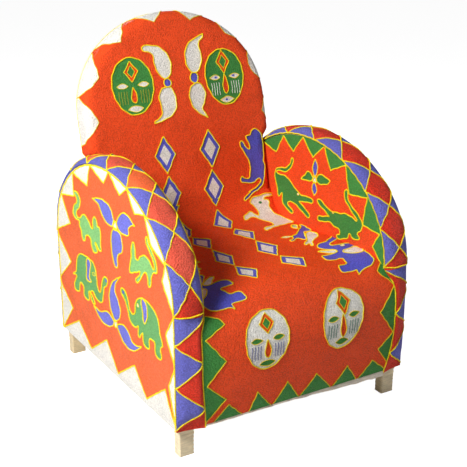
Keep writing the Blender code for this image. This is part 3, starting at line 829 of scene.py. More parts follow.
STATION_STEPS = 60
stations = [step / STATION_STEPS for step in range(4 * STATION_STEPS + 1)]
seat_runs = [0.0]
for last_station, station in zip(stations, stations[1:]):
    seat_runs.append(seat_runs[-1] + (seat_point(0, station) - seat_point(0, last_station)).length)
SEAT_RUN = seat_runs[-1]


def apron_edge(high):
    """How far from the middle the apron's edge lies in front of the arms."""
    return APRON_EDGE_FOOT + (APRON_EDGE - APRON_EDGE_FOOT) * ease((high - APRON_FOOT) / APRON_WIDENS)


def seat_lift(spot):
    station = float(np.interp(spot.y, seat_runs, stations))
    place = seat_point(spot.x, station)
    spread = (apron_edge(place.y) / SEAT_HALF - 1) * ease((-place.x - SPREAD_START) / SPREAD_FADE)
    return Vector((spot.x * (1 + spread), SEAM_Y + place.x, place.y))


edge_places = [seat_point(SEAT_HALF, station) for station in stations[:2 * STATION_STEPS + 1]]
edge_heights = [place.y for place in edge_places]
edge_depths = [place.x for place in edge_places]
print("seat cloth runs", round(SEAT_RUN, 3), "from the apron's foot to the back")

# %% [markdown]
# ## The arms' outer cloths
# The outer face of each arm is flat, with a little padding that dips to the seams.
# White points stand in from the whole edge, so the orange field is drawn as one big jagged star.
# On this side the field is a paler orange with a bead colour of its own, a painted sheen of the strong
# light on the arm.
# A yellow string closes the seam; towards the rear it moves in, where the band's blue comes round
# the corner.
# Its animals and leaf wheels are common ornaments of this kind of beadwork, drawn here.

# %% Arm outline and the lift of a flat cover
PUFF = 0.003
PUFF_FADE = 0.035
FLAT_SINK = 0.0008
FOOT_INSET = 0.01


def arm_border(inset, foot=ARM_FOOT):
    """The edge of an arm's face as (depth, height), set in from the seams; foot is its front end."""
    middle = ARM_DEPTH / 2
    line = [Vector((inset, foot))]
    for step in range(ROUND_STEPS + 1):
        turn = math.pi * (1 - step / ROUND_STEPS)
        high = ARM_SPRING + (ARM_RISE - inset) * math.sin(turn)
        line.append(Vector((middle + (middle - inset) * math.cos(turn), high)))
    return line + [Vector((ARM_DEPTH - inset, ARM_FOOT))]


def arm_inset(deep, high):
    """About how far a spot on an arm's face is from the seam."""
    side = min(deep, ARM_DEPTH - deep)
    if high <= ARM_SPRING:
        return min(side, high - ARM_FOOT + FOOT_INSET)
    spread = math.hypot((deep - ARM_DEPTH / 2) / (ARM_DEPTH / 2), (high - ARM_SPRING) / ARM_RISE)
    return (1 - spread) * ARM_RISE


def arm_lift(face_x, sign):
    """Lays a flat cover on an arm's face; sign is the way the face looks along x."""
    def lift(spot):
        puff = PUFF * ease(arm_inset(spot.x, spot.y) / PUFF_FADE)
        return Vector((face_x + sign * (puff - FLAT_SINK), SEAM_Y + spot.x, spot.y))
    return lift


print("arm border has", len(arm_border(EDGE_GAP)), "points")

# %% Motifs of the outer cloths
STAR = straight([
    (4, 92), (54, 187), (165, 107), (235, 177), (345, 103), (415, 180), (530, 104), (615, 162), (752, 86),
    (660, 187), (762, 250), (655, 340), (762, 412), (645, 465), (705, 540), (605, 560), (611, 630),
    (503, 618), (485, 682), (388, 655), (360, 694), (290, 648), (250, 675), (203, 622), (152, 632),
    (112, 562), (43, 532), (56, 485), (3, 410), (43, 345), (2, 270), (33, 205)])
UPPER_WHEEL = [
    [(330, 560, 1), (352, 596), (400, 605), (440, 599), (471, 590, 1), (432, 584), (410, 561),
     (385, 547), (350, 544)],
    [(318, 562, 1), (300, 586), (275, 603), (248, 606), (228, 600), (204, 588, 1), (226, 582),
     (240, 570), (243, 552), (272, 544), (305, 548)],
    [(335, 545, 1), (352, 520), (355, 485), (347, 450), (334, 433), (318, 437), (319, 462), (303, 480),
     (285, 492), (284, 515), (294, 538)]]
LOWER_WHEEL = [
    [(350, 262, 1), (376, 288), (384, 325), (374, 358), (352, 384), (304, 413, 1), (334, 384),
     (343, 358), (324, 334), (312, 310), (320, 284)],
    [(356, 258, 1), (385, 272), (415, 270), (445, 256), (497, 256, 1), (470, 238), (440, 227),
     (405, 228), (372, 240)],
    [(342, 254, 1), (315, 268), (285, 272), (260, 260), (243, 244), (224, 242), (188, 251, 1),
     (212, 233), (238, 219), (270, 213), (305, 222)]]
GRAZER = [
    (604, 573), (580, 578), (560, 562), (566, 540), (588, 520), (592, 507), (570, 503), (550, 519),
    (530, 523), (508, 515), (488, 500), (477, 500), (476, 522), (468, 536), (456, 537), (447, 527),
    (444, 516), (430, 514), (424, 495), (428, 470), (425, 450), (437, 445), (455, 456), (466, 460),
    (452, 440), (462, 430), (482, 430), (492, 444), (498, 464), (520, 466), (530, 462), (536, 446),
    (550, 441), (558, 450), (564, 470), (575, 484), (572, 493), (605, 495), (618, 508), (606, 532),
    (584, 550), (588, 560)]
PROWLER = [
    (215, 541), (206, 526), (205, 503), (192, 498), (178, 512), (152, 524), (128, 521), (108, 506),
    (98, 505), (100, 522), (122, 545), (140, 562), (136, 580), (122, 562), (100, 545), (84, 522),
    (84, 500), (104, 492), (114, 478), (118, 456), (131, 446), (136, 462), (142, 478), (158, 474),
    (176, 452), (196, 434), (208, 436), (196, 450), (180, 468), (200, 462), (226, 452), (242, 450),
    (240, 470), (231, 492), (228, 522)]
ELEPHANT_REAR = [
    (642, 307, 1), (617, 326), (610, 358), (590, 385), (558, 394), (520, 396), (490, 393), (474, 380),
    (467, 356), (464, 330), (454, 316), (442, 320), (434, 340), (424, 364), (406, 378), (392, 372),
    (396, 356), (414, 342), (424, 318), (432, 294), (452, 283), (478, 288), (500, 300), (512, 296),
    (520, 288), (503, 262), (486, 266), (526, 292), (530, 262), (564, 262), (566, 290), (590, 296),
    (602, 264), (636, 264), (624, 296), (616, 308)]
ELEPHANT_FRONT = [
    (60, 306, 1), (76, 340), (84, 372), (110, 391), (142, 399), (172, 398), (200, 386), (215, 366),
    (220, 338), (234, 330), (250, 336), (258, 356), (276, 380), (296, 383), (304, 370), (290, 360),
    (280, 352), (266, 334), (256, 310), (238, 297), (216, 298), (202, 306), (204, 282), (194, 276),
    (184, 292), (176, 296), (172, 268), (140, 266), (138, 294), (122, 300), (106, 296), (102, 265),
    (70, 266), (74, 294)]
EAR_REAR = [(532, 389), (507, 389), (512, 362), (519, 336), (508, 327), (540, 324), (538, 350)]
EAR_FRONT = [(178, 396), (154, 392), (144, 366), (154, 338), (167, 330), (171, 352)]
print("outer cloths: a star of", len(STAR), "corners, two wheels and four animals")

# %% Sew the two outer cloths
SEAM_BEAD = 0.0026
SEAM_INSET = 0.0006
TURN_IN = 0.0125


def seam_line():
    """The string along an outer cloth's edge, and the number of the point where it starts to move in."""
    leaves, arrives = 36, 50
    along_edge, further_in = arm_border(EDGE_GAP + SEAM_INSET), arm_border(TURN_IN)
    line = []
    for k, (here, there) in enumerate(zip(along_edge, further_in)):
        line.append(here.lerp(there, ease((k - leaves) / (arrives - leaves))))
    return line, leaves


def sew_outer(side, sign):
    lift = arm_lift(sign * OUTER_X, sign)
    cloth = Cloth(f"{side}_arm_outer_beadwork", arm_border(EDGE_GAP), lift, "white", (sign, 0, 0))
    cloth.patch("sheen_orange", STAR)
    seam, leaves = seam_line()
    cloth.patch("dusk", seam[leaves:] + arm_border(0)[:leaves - 1:-1], edged=False)
    cloth.string(seam, bead=SEAM_BEAD)
    for wheel, centre, size in ((UPPER_WHEEL, (0.326, 0.553), 0.013), (LOWER_WHEEL, (0.348, 0.256), 0.011)):
        for leaf in wheel:
            cloth.patch("sky", drawn(leaf))
        cloth.patch("white", oval(centre, size, size, 20))
    for animal in (GRAZER, PROWLER):
        cloth.patch("leaf", drawn(animal))
    for animal in (ELEPHANT_REAR, ELEPHANT_FRONT):
        cloth.patch("grass", drawn(animal))
    for ear in (EAR_REAR, EAR_FRONT):
        cloth.patch("sky", drawn(ear))
    cloth.patch("grass", lens((0.488, 0.357), 0.012, 0.005), bead=FINE_BEAD)
    cloth.patch("white", oval((0.202, 0.367), 0.005, 0.005, 12), bead=FINE_BEAD)
    cloth.patch("blue", oval((0.404, 0.366), 0.006, 0.005, 12), edged=False)
    cloth.patch("blue", oval((0.292, 0.372), 0.006, 0.005, 12), edged=False)
    return finish_beadwork(cloth, [f"{side}_arm_outer_cover"])


for side_name, side_sign in SIDES.items():
    sew_outer(side_name, side_sign)

# %% [markdown]
# ## The arms' inner cloths
# Inside, green points hang from the arch, and two long-tailed crocodiles face each other under
# a flower of four petals.
# The cloth ends just below the seat's side; behind the lower rear board a tail of it runs down
# to the foot.

# %% Motifs of the inner cloths
INNER_FOOT = DECK_TOP + 0.027
INNER_POINTS = [
    [(4, 405), (26, 497), (50, 455)], [(26, 497), (86, 586), (98, 505)],
    [(86, 586), (190, 656), (165, 577)], [(190, 656), (295, 688), (257, 625)],
    [(295, 688), (403, 692), (346, 643)], [(403, 692), (508, 674), (450, 637)],
    [(508, 674), (630, 632), (543, 614)], [(630, 632), (704, 563), (640, 560)],
    [(704, 563), (748, 476), (690, 490)], [(748, 476), (764, 390), (716, 410)]]
CROCODILE_FRONT = [
    (178, 588), (187, 576), (183, 556), (164, 540), (140, 521), (124, 509), (150, 513), (180, 514),
    (203, 508), (228, 505), (252, 503), (280, 513), (306, 523), (318, 517), (312, 507), (285, 497),
    (257, 484, 1), (283, 476), (311, 468), (312, 457), (285, 459), (255, 467), (226, 460), (206, 458),
    (202, 446), (217, 436), (208, 429), (183, 436), (165, 445), (156, 460), (144, 452), (124, 451),
    (110, 461), (120, 471), (104, 486), (99, 502), (110, 521), (136, 537), (160, 551), (171, 566),
    (172, 582)]
CROCODILE_REAR = [
    (454, 616), (468, 592), (490, 576), (516, 570), (540, 561), (549, 545), (545, 520), (535, 503),
    (532, 482), (524, 474), (514, 486), (506, 488), (506, 464), (497, 453), (476, 444), (454, 437),
    (444, 446), (462, 454), (475, 464), (462, 473), (438, 474), (411, 465), (385, 455), (360, 449),
    (357, 460), (384, 474), (412, 487, 1), (372, 496), (345, 500), (341, 510), (370, 514), (400, 510),
    (416, 515), (436, 523), (456, 535), (478, 546), (502, 549), (526, 546), (540, 550), (530, 558),
    (505, 560), (482, 566), (463, 582), (449, 602)]
PETALS = [
    ("blue", [(335, 582, 1), (346, 605), (344, 624), (333, 640, 1), (321, 622), (323, 604)]),
    ("blue", [(335, 572, 1), (346, 556), (345, 540), (335, 526, 1), (324, 541), (325, 556)]),
    ("green", [(330, 577, 1), (312, 598), (284, 599), (257, 592, 1), (270, 580), (290, 573), (312, 570)]),
    ("green", [(340, 577, 1), (356, 592), (373, 592), (387, 578), (406, 562, 1), (376, 564), (355, 568)])]
print("inner cloths:", len(INNER_POINTS), "points, two crocodiles and", len(PETALS), "petals")

# %% Sew the two inner cloths
REAR_BOARD_TALL = 0.513
TAIL_GAP = 0.002
BEYOND_SEAM = 1.12


def inner_border():
    board_low, board_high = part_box("rear_board")
    rear = SEAM_Y + ARM_DEPTH - board_high.y
    slope = (board_high.y - board_low.y) / REAR_BOARD_TALL
    foot_depth = ARM_DEPTH - rear + TAIL_GAP
    knee_depth = foot_depth - slope * (INNER_FOOT - ARM_FOOT)
    tail = [Vector((foot_depth, ARM_FOOT)), Vector((knee_depth, INNER_FOOT))]
    return arm_border(EDGE_GAP, INNER_FOOT) + tail


def sew_inner(side, sign):
    lift = arm_lift(sign * INNER_X, -sign)
    cloth = Cloth(f"{side}_arm_inner_beadwork", inner_border(), lift, "field", (-sign, 0, 0))
    heart = Vector((ARM_DEPTH / 2, ARM_SPRING))
    for point in INNER_POINTS:
        first, last, tip = straight(point)
        outside = [heart + (spot - heart) * BEYOND_SEAM for spot in (last, (first + last) / 2, first)]
        cloth.patch("green", [first, tip, last] + outside, edged=False)
        cloth.string([first, tip, last])
    for animal in (CROCODILE_FRONT, CROCODILE_REAR):
        cloth.patch("green", drawn(animal))
    for colour, petal in PETALS:
        cloth.patch(colour, drawn(petal))
    cloth.patch("white", oval((0.335, 0.577), 0.011, 0.011, 20))
    cloth.patch("white", oval((0.240, 0.500), 0.005, 0.003, 10), bead=FINE_BEAD)
    cloth.patch("white", oval((0.420, 0.508), 0.005, 0.004, 10), bead=FINE_BEAD)
    return finish_beadwork(cloth, [f"{side}_arm_inner_cover"])


for side_name, side_sign in SIDES.items():
    sew_inner(side_name, side_sign)

# %% [markdown]
# ## The bands
# A band of red and blue beads runs over the rounded edge of each arm, from the front foot over the
# arch to the rear foot.
# It is one long strip: flat it is a rectangle, with the run along the edge as its length.
# Above the seat it carries a chain of red diamonds, below it a zigzag, and a yellow string closes
# its inner seam. The left band's diamonds are in paler reds, a painted sheen of the light falling on that
# arm.

# %% Run along an arm's edge
ARCH_STEPS = 240
arch_runs = [0.0]
arch_turns = [math.pi]
last_spot = Vector((0, ARM_SPRING))
for arch_step in range(1, ARCH_STEPS + 1):
    arch_turn = math.pi * (1 - arch_step / ARCH_STEPS)
    spot_now = Vector((ARM_DEPTH / 2 * (1 + math.cos(arch_turn)),
                       ARM_SPRING + ARM_RISE * math.sin(arch_turn)))
    arch_runs.append(arch_runs[-1] + (spot_now - last_spot).length)
    arch_turns.append(arch_turn)
    last_spot = spot_now
ARM_LEG = ARM_SPRING - ARM_FOOT
BAND_RUN = 2 * ARM_LEG + arch_runs[-1]


def arm_edge(run, inset):
    """(depth, height) on an arm's edge, set in from the seam, at a run from the front foot."""
    middle = ARM_DEPTH / 2
    if run < ARM_LEG:
        return inset, ARM_FOOT + run
    if run > BAND_RUN - ARM_LEG:
        return ARM_DEPTH - inset, ARM_FOOT + BAND_RUN - run
    turn = float(np.interp(run - ARM_LEG, arch_runs, arch_turns))
    return middle + (middle - inset) * math.cos(turn), ARM_SPRING + (ARM_RISE - inset) * math.sin(turn)


BAND_HALF = (OUTER_X - INNER_X) / 2
APRON_TOP = 0.318
APRON_BLEND = 0.030
DOME_STEPS = 60
dome_shares = [step / DOME_STEPS for step in range(DOME_STEPS + 1)]
dome_lengths = [0.0]
for dome_step in range(1, DOME_STEPS + 1):
    rise = BAND_CROWN * (dome_shares[dome_step] ** BAND_POWER - dome_shares[dome_step - 1] ** BAND_POWER)
    dome_lengths.append(dome_lengths[-1] + math.hypot(BAND_HALF / DOME_STEPS, rise))
BAND_REACH = dome_lengths[-1]


def band_lift(sign):
    """Lays the strip on an arm's edge; the flat x runs from the inner seam to the outer one."""
    def lift(spot):
        share = float(np.interp(abs(spot.x), dome_lengths, dome_shares))
        across = math.copysign(share, spot.x)
        seam_height = arm_edge(spot.y, 0)[1]
        crown = BAND_CROWN * ease((seam_height - ARM_FOOT) / BAND_FADE) * (1 - share ** BAND_POWER)
        inner = INNER_X
        if spot.y < APRON_TOP:
            beside = ease((APRON_TOP - spot.y) / APRON_BLEND)
            apron_depth = float(np.interp(seam_height, edge_heights, edge_depths))
            crown += beside * max(-apron_depth, 0) * ((1 - across) / 2) ** 2
            spread = ease((-apron_depth - SPREAD_START) / SPREAD_FADE)
            inner += beside * (apron_edge(seam_height) - INNER_X) * spread
        deep, high = arm_edge(spot.y, -crown)
        x = sign * (inner + (OUTER_X - inner) * (across + 1) / 2)
        return Vector((x, SEAM_Y + deep, high))
    return lift


print("band", round(BAND_RUN, 3), "long and", round(2 * BAND_REACH, 3), "wide when flat")

# %% Sew the two bands
ZIGZAG_TOP = 0.325
ZIGZAG = {
    "left": [(-0.9, 0.316), (1, 0.246), (-0.97, 0.198), (1, 0.128), (-0.97, 0.066), (1, 0.006)],
    "right": [(-0.9, 0.316), (1, 0.257), (-0.97, 0.192), (1, 0.142), (-0.97, 0.069), (1, 0.010)]}
CROSSINGS = {
    "left": [0.400, 0.533, 0.660, 0.776, 0.908, 1.042, 1.176, 1.310],
    "right": [0.378, 0.490, 0.604, 0.746, 0.890, 1.030, 1.170, 1.310]}
SEAM_SHARE = 0.985
STRING_END = 0.003
# Painted sheen: the left band's diamonds get paler reds where the light falls on that arm; the right band
# keeps plain red.
SHEEN_DIAMONDS = {"left": ["sheen_red", "sheen_red", "sheen_orange", "sheen_red", "sheen_orange", "sheen_red", "sheen_red"], "right": []}


def band_spot(share, run):
    return Vector((share * BAND_REACH, run))


def sew_band(side, sign):
    border = rectangle(-BAND_REACH, 0, BAND_REACH, BAND_RUN)
    cloth = Cloth(f"{side}_arm_band_beadwork", border, band_lift(sign), "red", (0, 0, 1), spacing=0.009)
    crossings = CROSSINGS[side]
    diamonds = [run for pair in zip(crossings, crossings[1:]) for run in (pair[0], sum(pair) / 2)]
    runs = [ZIGZAG_TOP] + diamonds + [crossings[-1], BAND_RUN - ZIGZAG_TOP]
    for way in (-1, 1):
        corners = [band_spot(0 if k % 2 else way, run) for k, run in enumerate(runs)]
        for k in range(0, len(corners) - 1, 2):
            cloth.patch("dusk", [corners[k], corners[k + 1], corners[k + 2]], edged=False)
        cloth.string(corners)
    for k, colour in enumerate(SHEEN_DIAMONDS[side]):
        head, middle, tail = runs[1 + 2 * k: 4 + 2 * k]
        sides = [band_spot(0, head), band_spot(-1, middle), band_spot(0, tail), band_spot(1, middle)]
        cloth.patch(colour, sides, edged=False)
    cloth.string([band_spot(-SEAM_SHARE, STRING_END), band_spot(-SEAM_SHARE, BAND_RUN - STRING_END)])
    for turned in (False, True):
        line = ZIGZAG[side]
        if turned:
            line = [(share, BAND_RUN - run) for share, run in line]
        points = [band_spot(share, run) for share, run in line]
        end_run = BAND_RUN if turned else 0.0
        head = BAND_RUN - ZIGZAG_TOP if turned else ZIGZAG_TOP
        cloth.patch("dusk", [band_spot(1, head)] + points + [band_spot(1, end_run)], edged=False)
        cloth.string(points)
        cloth.string([band_spot(-1, head), band_spot(1, head)])
    return finish_beadwork(cloth, [f"{side}_arm_band_cover"])


for side_name, side_sign in SIDES.items():
    sew_band(side_name, side_sign)

# %% [markdown]
# ## Masks
# Four oval masks look out of the back and the apron. They share one plan: a diamond on the forehead,
# almond eyes with tear lines below, a drop-shaped nose and an almond mouth.
# One function draws them all from the oval's centre and half sizes.

# %% The mask
MASK_STRING = 0.0018
EYE_STRING = 1.2
TEAR_STRING = 1.1
BROW_WIDE = 0.34
INNER_BROW_WIDE = 0.19
INNER_BROW_TALL = 0.56
EYE_PLACE = 0.51
EYE_WIDE = 0.27
EYE_TALL = 0.09
NOSE_WIDE = 0.14
MOUTH_TALL = 0.11
TEAR_PLACE = 0.53
TEARS = 4
TEAR_GAP = 0.13
TEAR_RUN = (0.18, 0.64)


def mask(cloth, centre, half, skin, eyes, tears, brow, nose, eye_height, mouth, lean=0.0):
    """An oval mask. Brow and nose are given by top and foot, the mouth by its height and half width,
    all as shares of the half sizes."""
    x, y = centre
    wide, tall = half

    def spot(across, up):
        return Vector((x + across * wide + lean * up * tall, y + up * tall))

    face = oval((0, 0), 1, 1, 44, 0.05)
    cloth.patch(skin, [spot(point.x, point.y) for point in face])
    brow_middle = spot(0, sum(brow) / 2)
    brow_half = (brow[0] - brow[1]) / 2 * tall
    cloth.patch("field", diamond(brow_middle, BROW_WIDE * wide, brow_half), bead=MASK_STRING)
    inner_brow = diamond(brow_middle, INNER_BROW_WIDE * wide, brow_half * INNER_BROW_TALL)
    cloth.patch("green", inner_brow, bead=FINE_BEAD)
    fine = FINE_BEAD * EYE_STRING
    for way in (-1, 1):
        eye_middle = spot(way * EYE_PLACE, eye_height)
        cloth.patch(eyes, lens(eye_middle, EYE_WIDE * wide, EYE_TALL * tall), bead=fine)
        for tear in range(TEARS):
            across = way * TEAR_PLACE + (tear - (TEARS - 1) / 2) * TEAR_GAP
            ends = [spot(across, eye_height - below) for below in TEAR_RUN]
            cloth.string(ends, tears, FINE_BEAD * TEAR_STRING)
    nose_middle = spot(0, sum(nose) / 2)
    nose_half = (nose[0] - nose[1]) / 2 * tall
    cloth.patch("field", drop(nose_middle, NOSE_WIDE * wide, nose_half), bead=MASK_STRING)
    cloth.patch(eyes, lens(spot(0, mouth[0]), mouth[1] * wide, MOUTH_TALL * tall), bead=fine)


print("mask plan ready")

# %% [markdown]
# ## The back
# The back carries two masks, two pairs of leaves, a double chain of diamonds and a climbing animal
# at each side.
# The rim's white points are given by angle round the arch and inset from the edge, because there
# the edge is a curve. The two at the sides are given by height and reach.

# %% Motifs of the back
RIM_EDGE = -RIM_REACH - 0.015
RIM_STRING = 0.0016
RIM_FINE = 0.0012
RIM_RIGHT = 0.1
LINK_SHARE = 0.58
RIM_POINTS = [
    [(169.5, RIM_EDGE), (168.8, -0.044), (166.6, -0.006), (162.5, 0.018), (156.5, 0.028), (153, 0.017),
     (148.6, -0.004), (143.5, -0.040), (141, RIM_EDGE)],
    [(141, RIM_EDGE), (138.2, -0.032), (135.2, 0.010), (129.8, 0.028), (124.4, 0.010), (118, -0.034),
     (114, RIM_EDGE)],
    [(113, RIM_EDGE), (110.8, -0.030), (110, -0.006), (106.4, 0.012), (102.2, 0.026), (98.6, 0.016),
     (92.6, -0.014), (88.5, RIM_EDGE)],
    [(85.5, RIM_EDGE), (83, -0.012), (81.2, 0.008), (78.2, 0.018), (75.2, 0.028), (71.6, 0.014),
     (65.6, -0.006), (58.5, RIM_EDGE)],
    [(57, RIM_EDGE), (54.8, -0.004), (52.4, 0.012), (47.6, 0.022), (44.6, 0.016), (39.8, 0.006),
     (33, RIM_EDGE)],
    [(31, RIM_EDGE), (28.5, 0), (26.6, 0.020), (22.4, 0.030), (18.2, 0.033), (14.6, 0.026),
     (11, 0.012), (6.5, RIM_EDGE)]]
RIM_SIDES = {
    -1: [(538, -RIM_EDGE), (537, 0.036), (501, -0.007), (480, -0.022), (449, -0.036), (420, -0.014),
         (394, 0.020), (385, 0.057), (383, -RIM_EDGE)],
    1: [(490, -RIM_EDGE), (470, 0.010), (457, -0.008), (422, -0.0245), (403, -0.008), (394, 0),
        (380, -RIM_EDGE)]}
UPPER_LEAF_LEFT = [
    (-45, 552, 1), (-58, 560), (-69, 578), (-74, 600), (-74, 622), (-82, 634), (-103, 640),
    (-104, 653), (-82, 655), (-52, 648), (-30, 628), (-20, 600), (-24, 572), (-35, 556)]
LOWER_LEAF_LEFT = [
    (-42, 528, 1), (-60, 525), (-73, 508), (-75, 492), (-71, 470), (-73, 448), (-84, 438), (-100, 427),
    (-84, 428), (-50, 438), (-28, 455), (-21, 480), (-24, 508), (-32, 524)]
UPPER_LEAF_RIGHT = [
    (51, 560, 1), (38, 572), (31, 592), (33, 620), (42, 642), (62, 658), (104, 675, 1), (101, 664),
    (87, 652), (84, 634), (88, 612), (82, 584), (66, 564)]
LOWER_LEAF_RIGHT = [
    (50, 530, 1), (34, 518), (26, 496), (30, 468), (42, 448), (60, 434), (82, 421, 1), (74, 436), (66, 450),
    (76, 472), (83, 492), (78, 514), (64, 529)]
CLIMBER = [
    (236, 362), (245, 368), (258, 362), (268, 352), (276, 330), (274, 290), (268, 262), (272, 245),
    (266, 222), (260, 200), (250, 184), (228, 172), (204, 162), (188, 150), (181, 156), (192, 168),
    (214, 178), (236, 188), (248, 200), (246, 210), (236, 208), (222, 200), (180, 206), (173, 216),
    (180, 224), (190, 218), (206, 217), (212, 232), (215, 262), (206, 286), (196, 304), (188, 322),
    (190, 334), (200, 330), (210, 312), (220, 306), (222, 320), (214, 338), (214, 348), (228, 351)]
BACK_CHAIN = [((-0.079, 0.328), 0.033, 0.056), ((0.075, 0.328), 0.036, 0.058),
              ((-0.077, 0.208), 0.033, 0.056), ((0.072, 0.206), 0.035, 0.057)]


def link(cloth, centre, half_width, half_height):
    """One link of a chain: a blue diamond with a white one inside."""
    cloth.patch("blue", diamond(centre, half_width, half_height))
    cloth.patch("white", diamond(centre, half_width * LINK_SHARE, half_height * LINK_SHARE), edged=False)


print("back:", len(RIM_POINTS) + len(RIM_SIDES), "rim points and", len(BACK_CHAIN), "links")

# %% Sew the back
back = Cloth("back_beadwork", back_border(-RIM_REACH, BACK_SEAM), back_lift, "field", (0, -1, 0),
             spacing=0.010)
for corners in RIM_POINTS:
    outline = [back_spot(*corner) for corner in corners]
    back.patch("white", outline, edged=False)
    back.string(outline, "gold", RIM_FINE if outline[0].x > RIM_RIGHT else RIM_STRING)
for way, corners in RIM_SIDES.items():
    outline = [Vector((way * (BACK_HALF + beyond), along * MILLI)) for along, beyond in corners]
    back.patch("white", outline, edged=False)
    back.string(outline, "gold", RIM_FINE if way > 0 else RIM_STRING)
back.string(back_border(0.002 - RIM_REACH, BACK_SEAM), bead=RIM_FINE)
mask(back, (-0.152, 0.5415), (0.065, 0.084), "green", "white", "olive", (0.87, 0.14), (-0.04, -0.58), 0.03,
     (-0.79, 0.37))
mask(back, (0.160, 0.5390), (0.069, 0.085), "green", "white", "white", (0.97, 0.12), (0.10, -0.60), 0.0,
     (-0.82, 0.37))
for outline in (UPPER_LEAF_LEFT, LOWER_LEAF_LEFT, UPPER_LEAF_RIGHT, LOWER_LEAF_RIGHT):
    back.patch("white", drawn(outline))
back.patch("blue", oval((-0.041, 0.5395), 0.012, 0.0125, 20))
back.patch("blue", oval((0.051, 0.5465), 0.014, 0.016, 20))
for centre in ((0.128, 0.539), (0.193, 0.540), (0.158, 0.469)):
    back.patch("blue", oval(centre, 0.005, 0.003, 10), edged=False)
for chain_link in BACK_CHAIN:
    link(back, *chain_link)
back.patch("blue", drawn(CLIMBER))
back.patch("blue", moved(flipped(drawn(CLIMBER)), 0, -0.016))
finish_beadwork(back, ["back_front_cover"])

# %% [markdown]
# ## The seat and its apron
# Animals crowd in from both sides of the seat, and the chain of diamonds runs on from the back.
# The apron below shows two masks between green points.

# %% Motifs of the seat
GOAT = [
    (143, 821), (149, 838), (165, 848), (184, 854), (194, 841), (204, 835), (210, 848), (208, 864),
    (202, 875), (195, 882), (199, 891), (212, 898), (236, 900), (262, 903), (284, 899), (287, 892, 1),
    (270, 894), (250, 888), (263, 884), (266, 875), (260, 864), (263, 848), (268, 834), (280, 824),
    (286, 810), (287, 770), (284, 754), (262, 748), (240, 740), (216, 736), (190, 729), (164, 717),
    (152, 711), (150, 722), (162, 736), (184, 742), (200, 747), (208, 758), (209, 774), (202, 794),
    (194, 812), (186, 827), (172, 831), (156, 822)]
KID_FRONT = [
    (163, 607), (176, 613), (186, 622), (190, 634), (204, 641), (219, 649), (242, 672), (258, 686),
    (272, 702), (283, 719), (287, 700), (281, 680), (275, 654), (262, 646), (246, 648), (233, 629),
    (222, 608), (212, 594), (204, 598), (197, 614), (181, 606), (166, 598)]
KID_REAR = [
    (183, 562), (192, 572), (209, 585), (222, 606), (241, 633), (260, 643), (268, 630), (266, 610),
    (253, 591), (232, 579), (213, 564), (201, 542), (195, 545), (199, 560), (188, 555)]
KID_HEAD = [(240, 698), (245, 714), (254, 724), (266, 725), (268, 714), (258, 700), (247, 686)]
SEAT_ELEPHANT = [
    (289, 567, 1), (263, 551), (245, 541), (226, 541), (212, 537), (203, 525), (201, 512), (207, 500),
    (216, 488), (225, 476), (226, 463), (214, 457), (190, 459), (170, 457), (162, 441), (164, 423),
    (185, 418), (205, 417), (203, 398), (197, 382), (170, 380), (163, 366), (164, 351), (185, 348),
    (209, 347, 1), (208, 329, 1), (218, 336), (240, 339), (259, 341), (274, 353), (279, 378),
    (281, 408), (289, 414, 1), (289, 488, 1), (272, 493), (255, 497), (240, 504), (239, 516),
    (256, 525), (289, 541, 1)]
CLIMBER_TAIL = [(177, 892), (178, 900), (190, 908), (210, 918, 1), (230, 918, 1), (206, 906), (190, 896)]
SEAT_TUSK = [
    (181, 492, 1), (192, 497), (213, 483), (226, 474), (224, 462), (213, 457), (202, 467), (189, 482)]
SEAT_EAR = [
    (234, 446), (242, 454), (262, 452), (284, 456), (288, 440), (287, 424), (269, 408), (249, 416),
    (238, 432)]
SEAT_CHAIN = [
    [(62, 774), (97, 827), (69, 882), (28, 823)], [(71, 657), (106, 717), (69, 766), (42, 730)],
    [(56, 515), (101, 584), (67, 645), (26, 570)], [(77, 405), (110, 466), (60, 506), (34, 460)],
    [(-79, 770), (-51, 822), (-69, 884), (-106, 824)], [(-76, 656), (-40, 725), (-77, 763), (-103, 712)],
    [(-85, 515), (-56, 576), (-79, 645), (-113, 566)], [(-81, 405), (-50, 456), (-88, 506), (-111, 452)]]
APRON_LEFT_EDGE = [
    (-289, 322), (-276, 318), (-250, 303), (-226, 282), (-277, 241), (-227, 185), (-277, 136),
    (-229, 75), (-284, 12), (-289, 4)]
APRON_RIGHT_EDGE = [(289, 338), (264, 313), (288, 255), (233, 202), (285, 144), (240, 97), (289, 38)]
APRON_POINTS = [
    [(-266, 0), (-220, 53), (-181, 0)], [(-160, 0), (-138, 66), (-91, 0)],
    [(-85, 0), (-50, 73), (-2, 0)], [(-1, 0), (40, 71), (104, 0)], [(109, 0), (140, 66), (191, 0)],
    [(197, 0), (228, 61), (289, 10), (289, 0)]]
print("seat:", len(SEAT_CHAIN), "links and", len(APRON_POINTS), "points along the apron's foot")

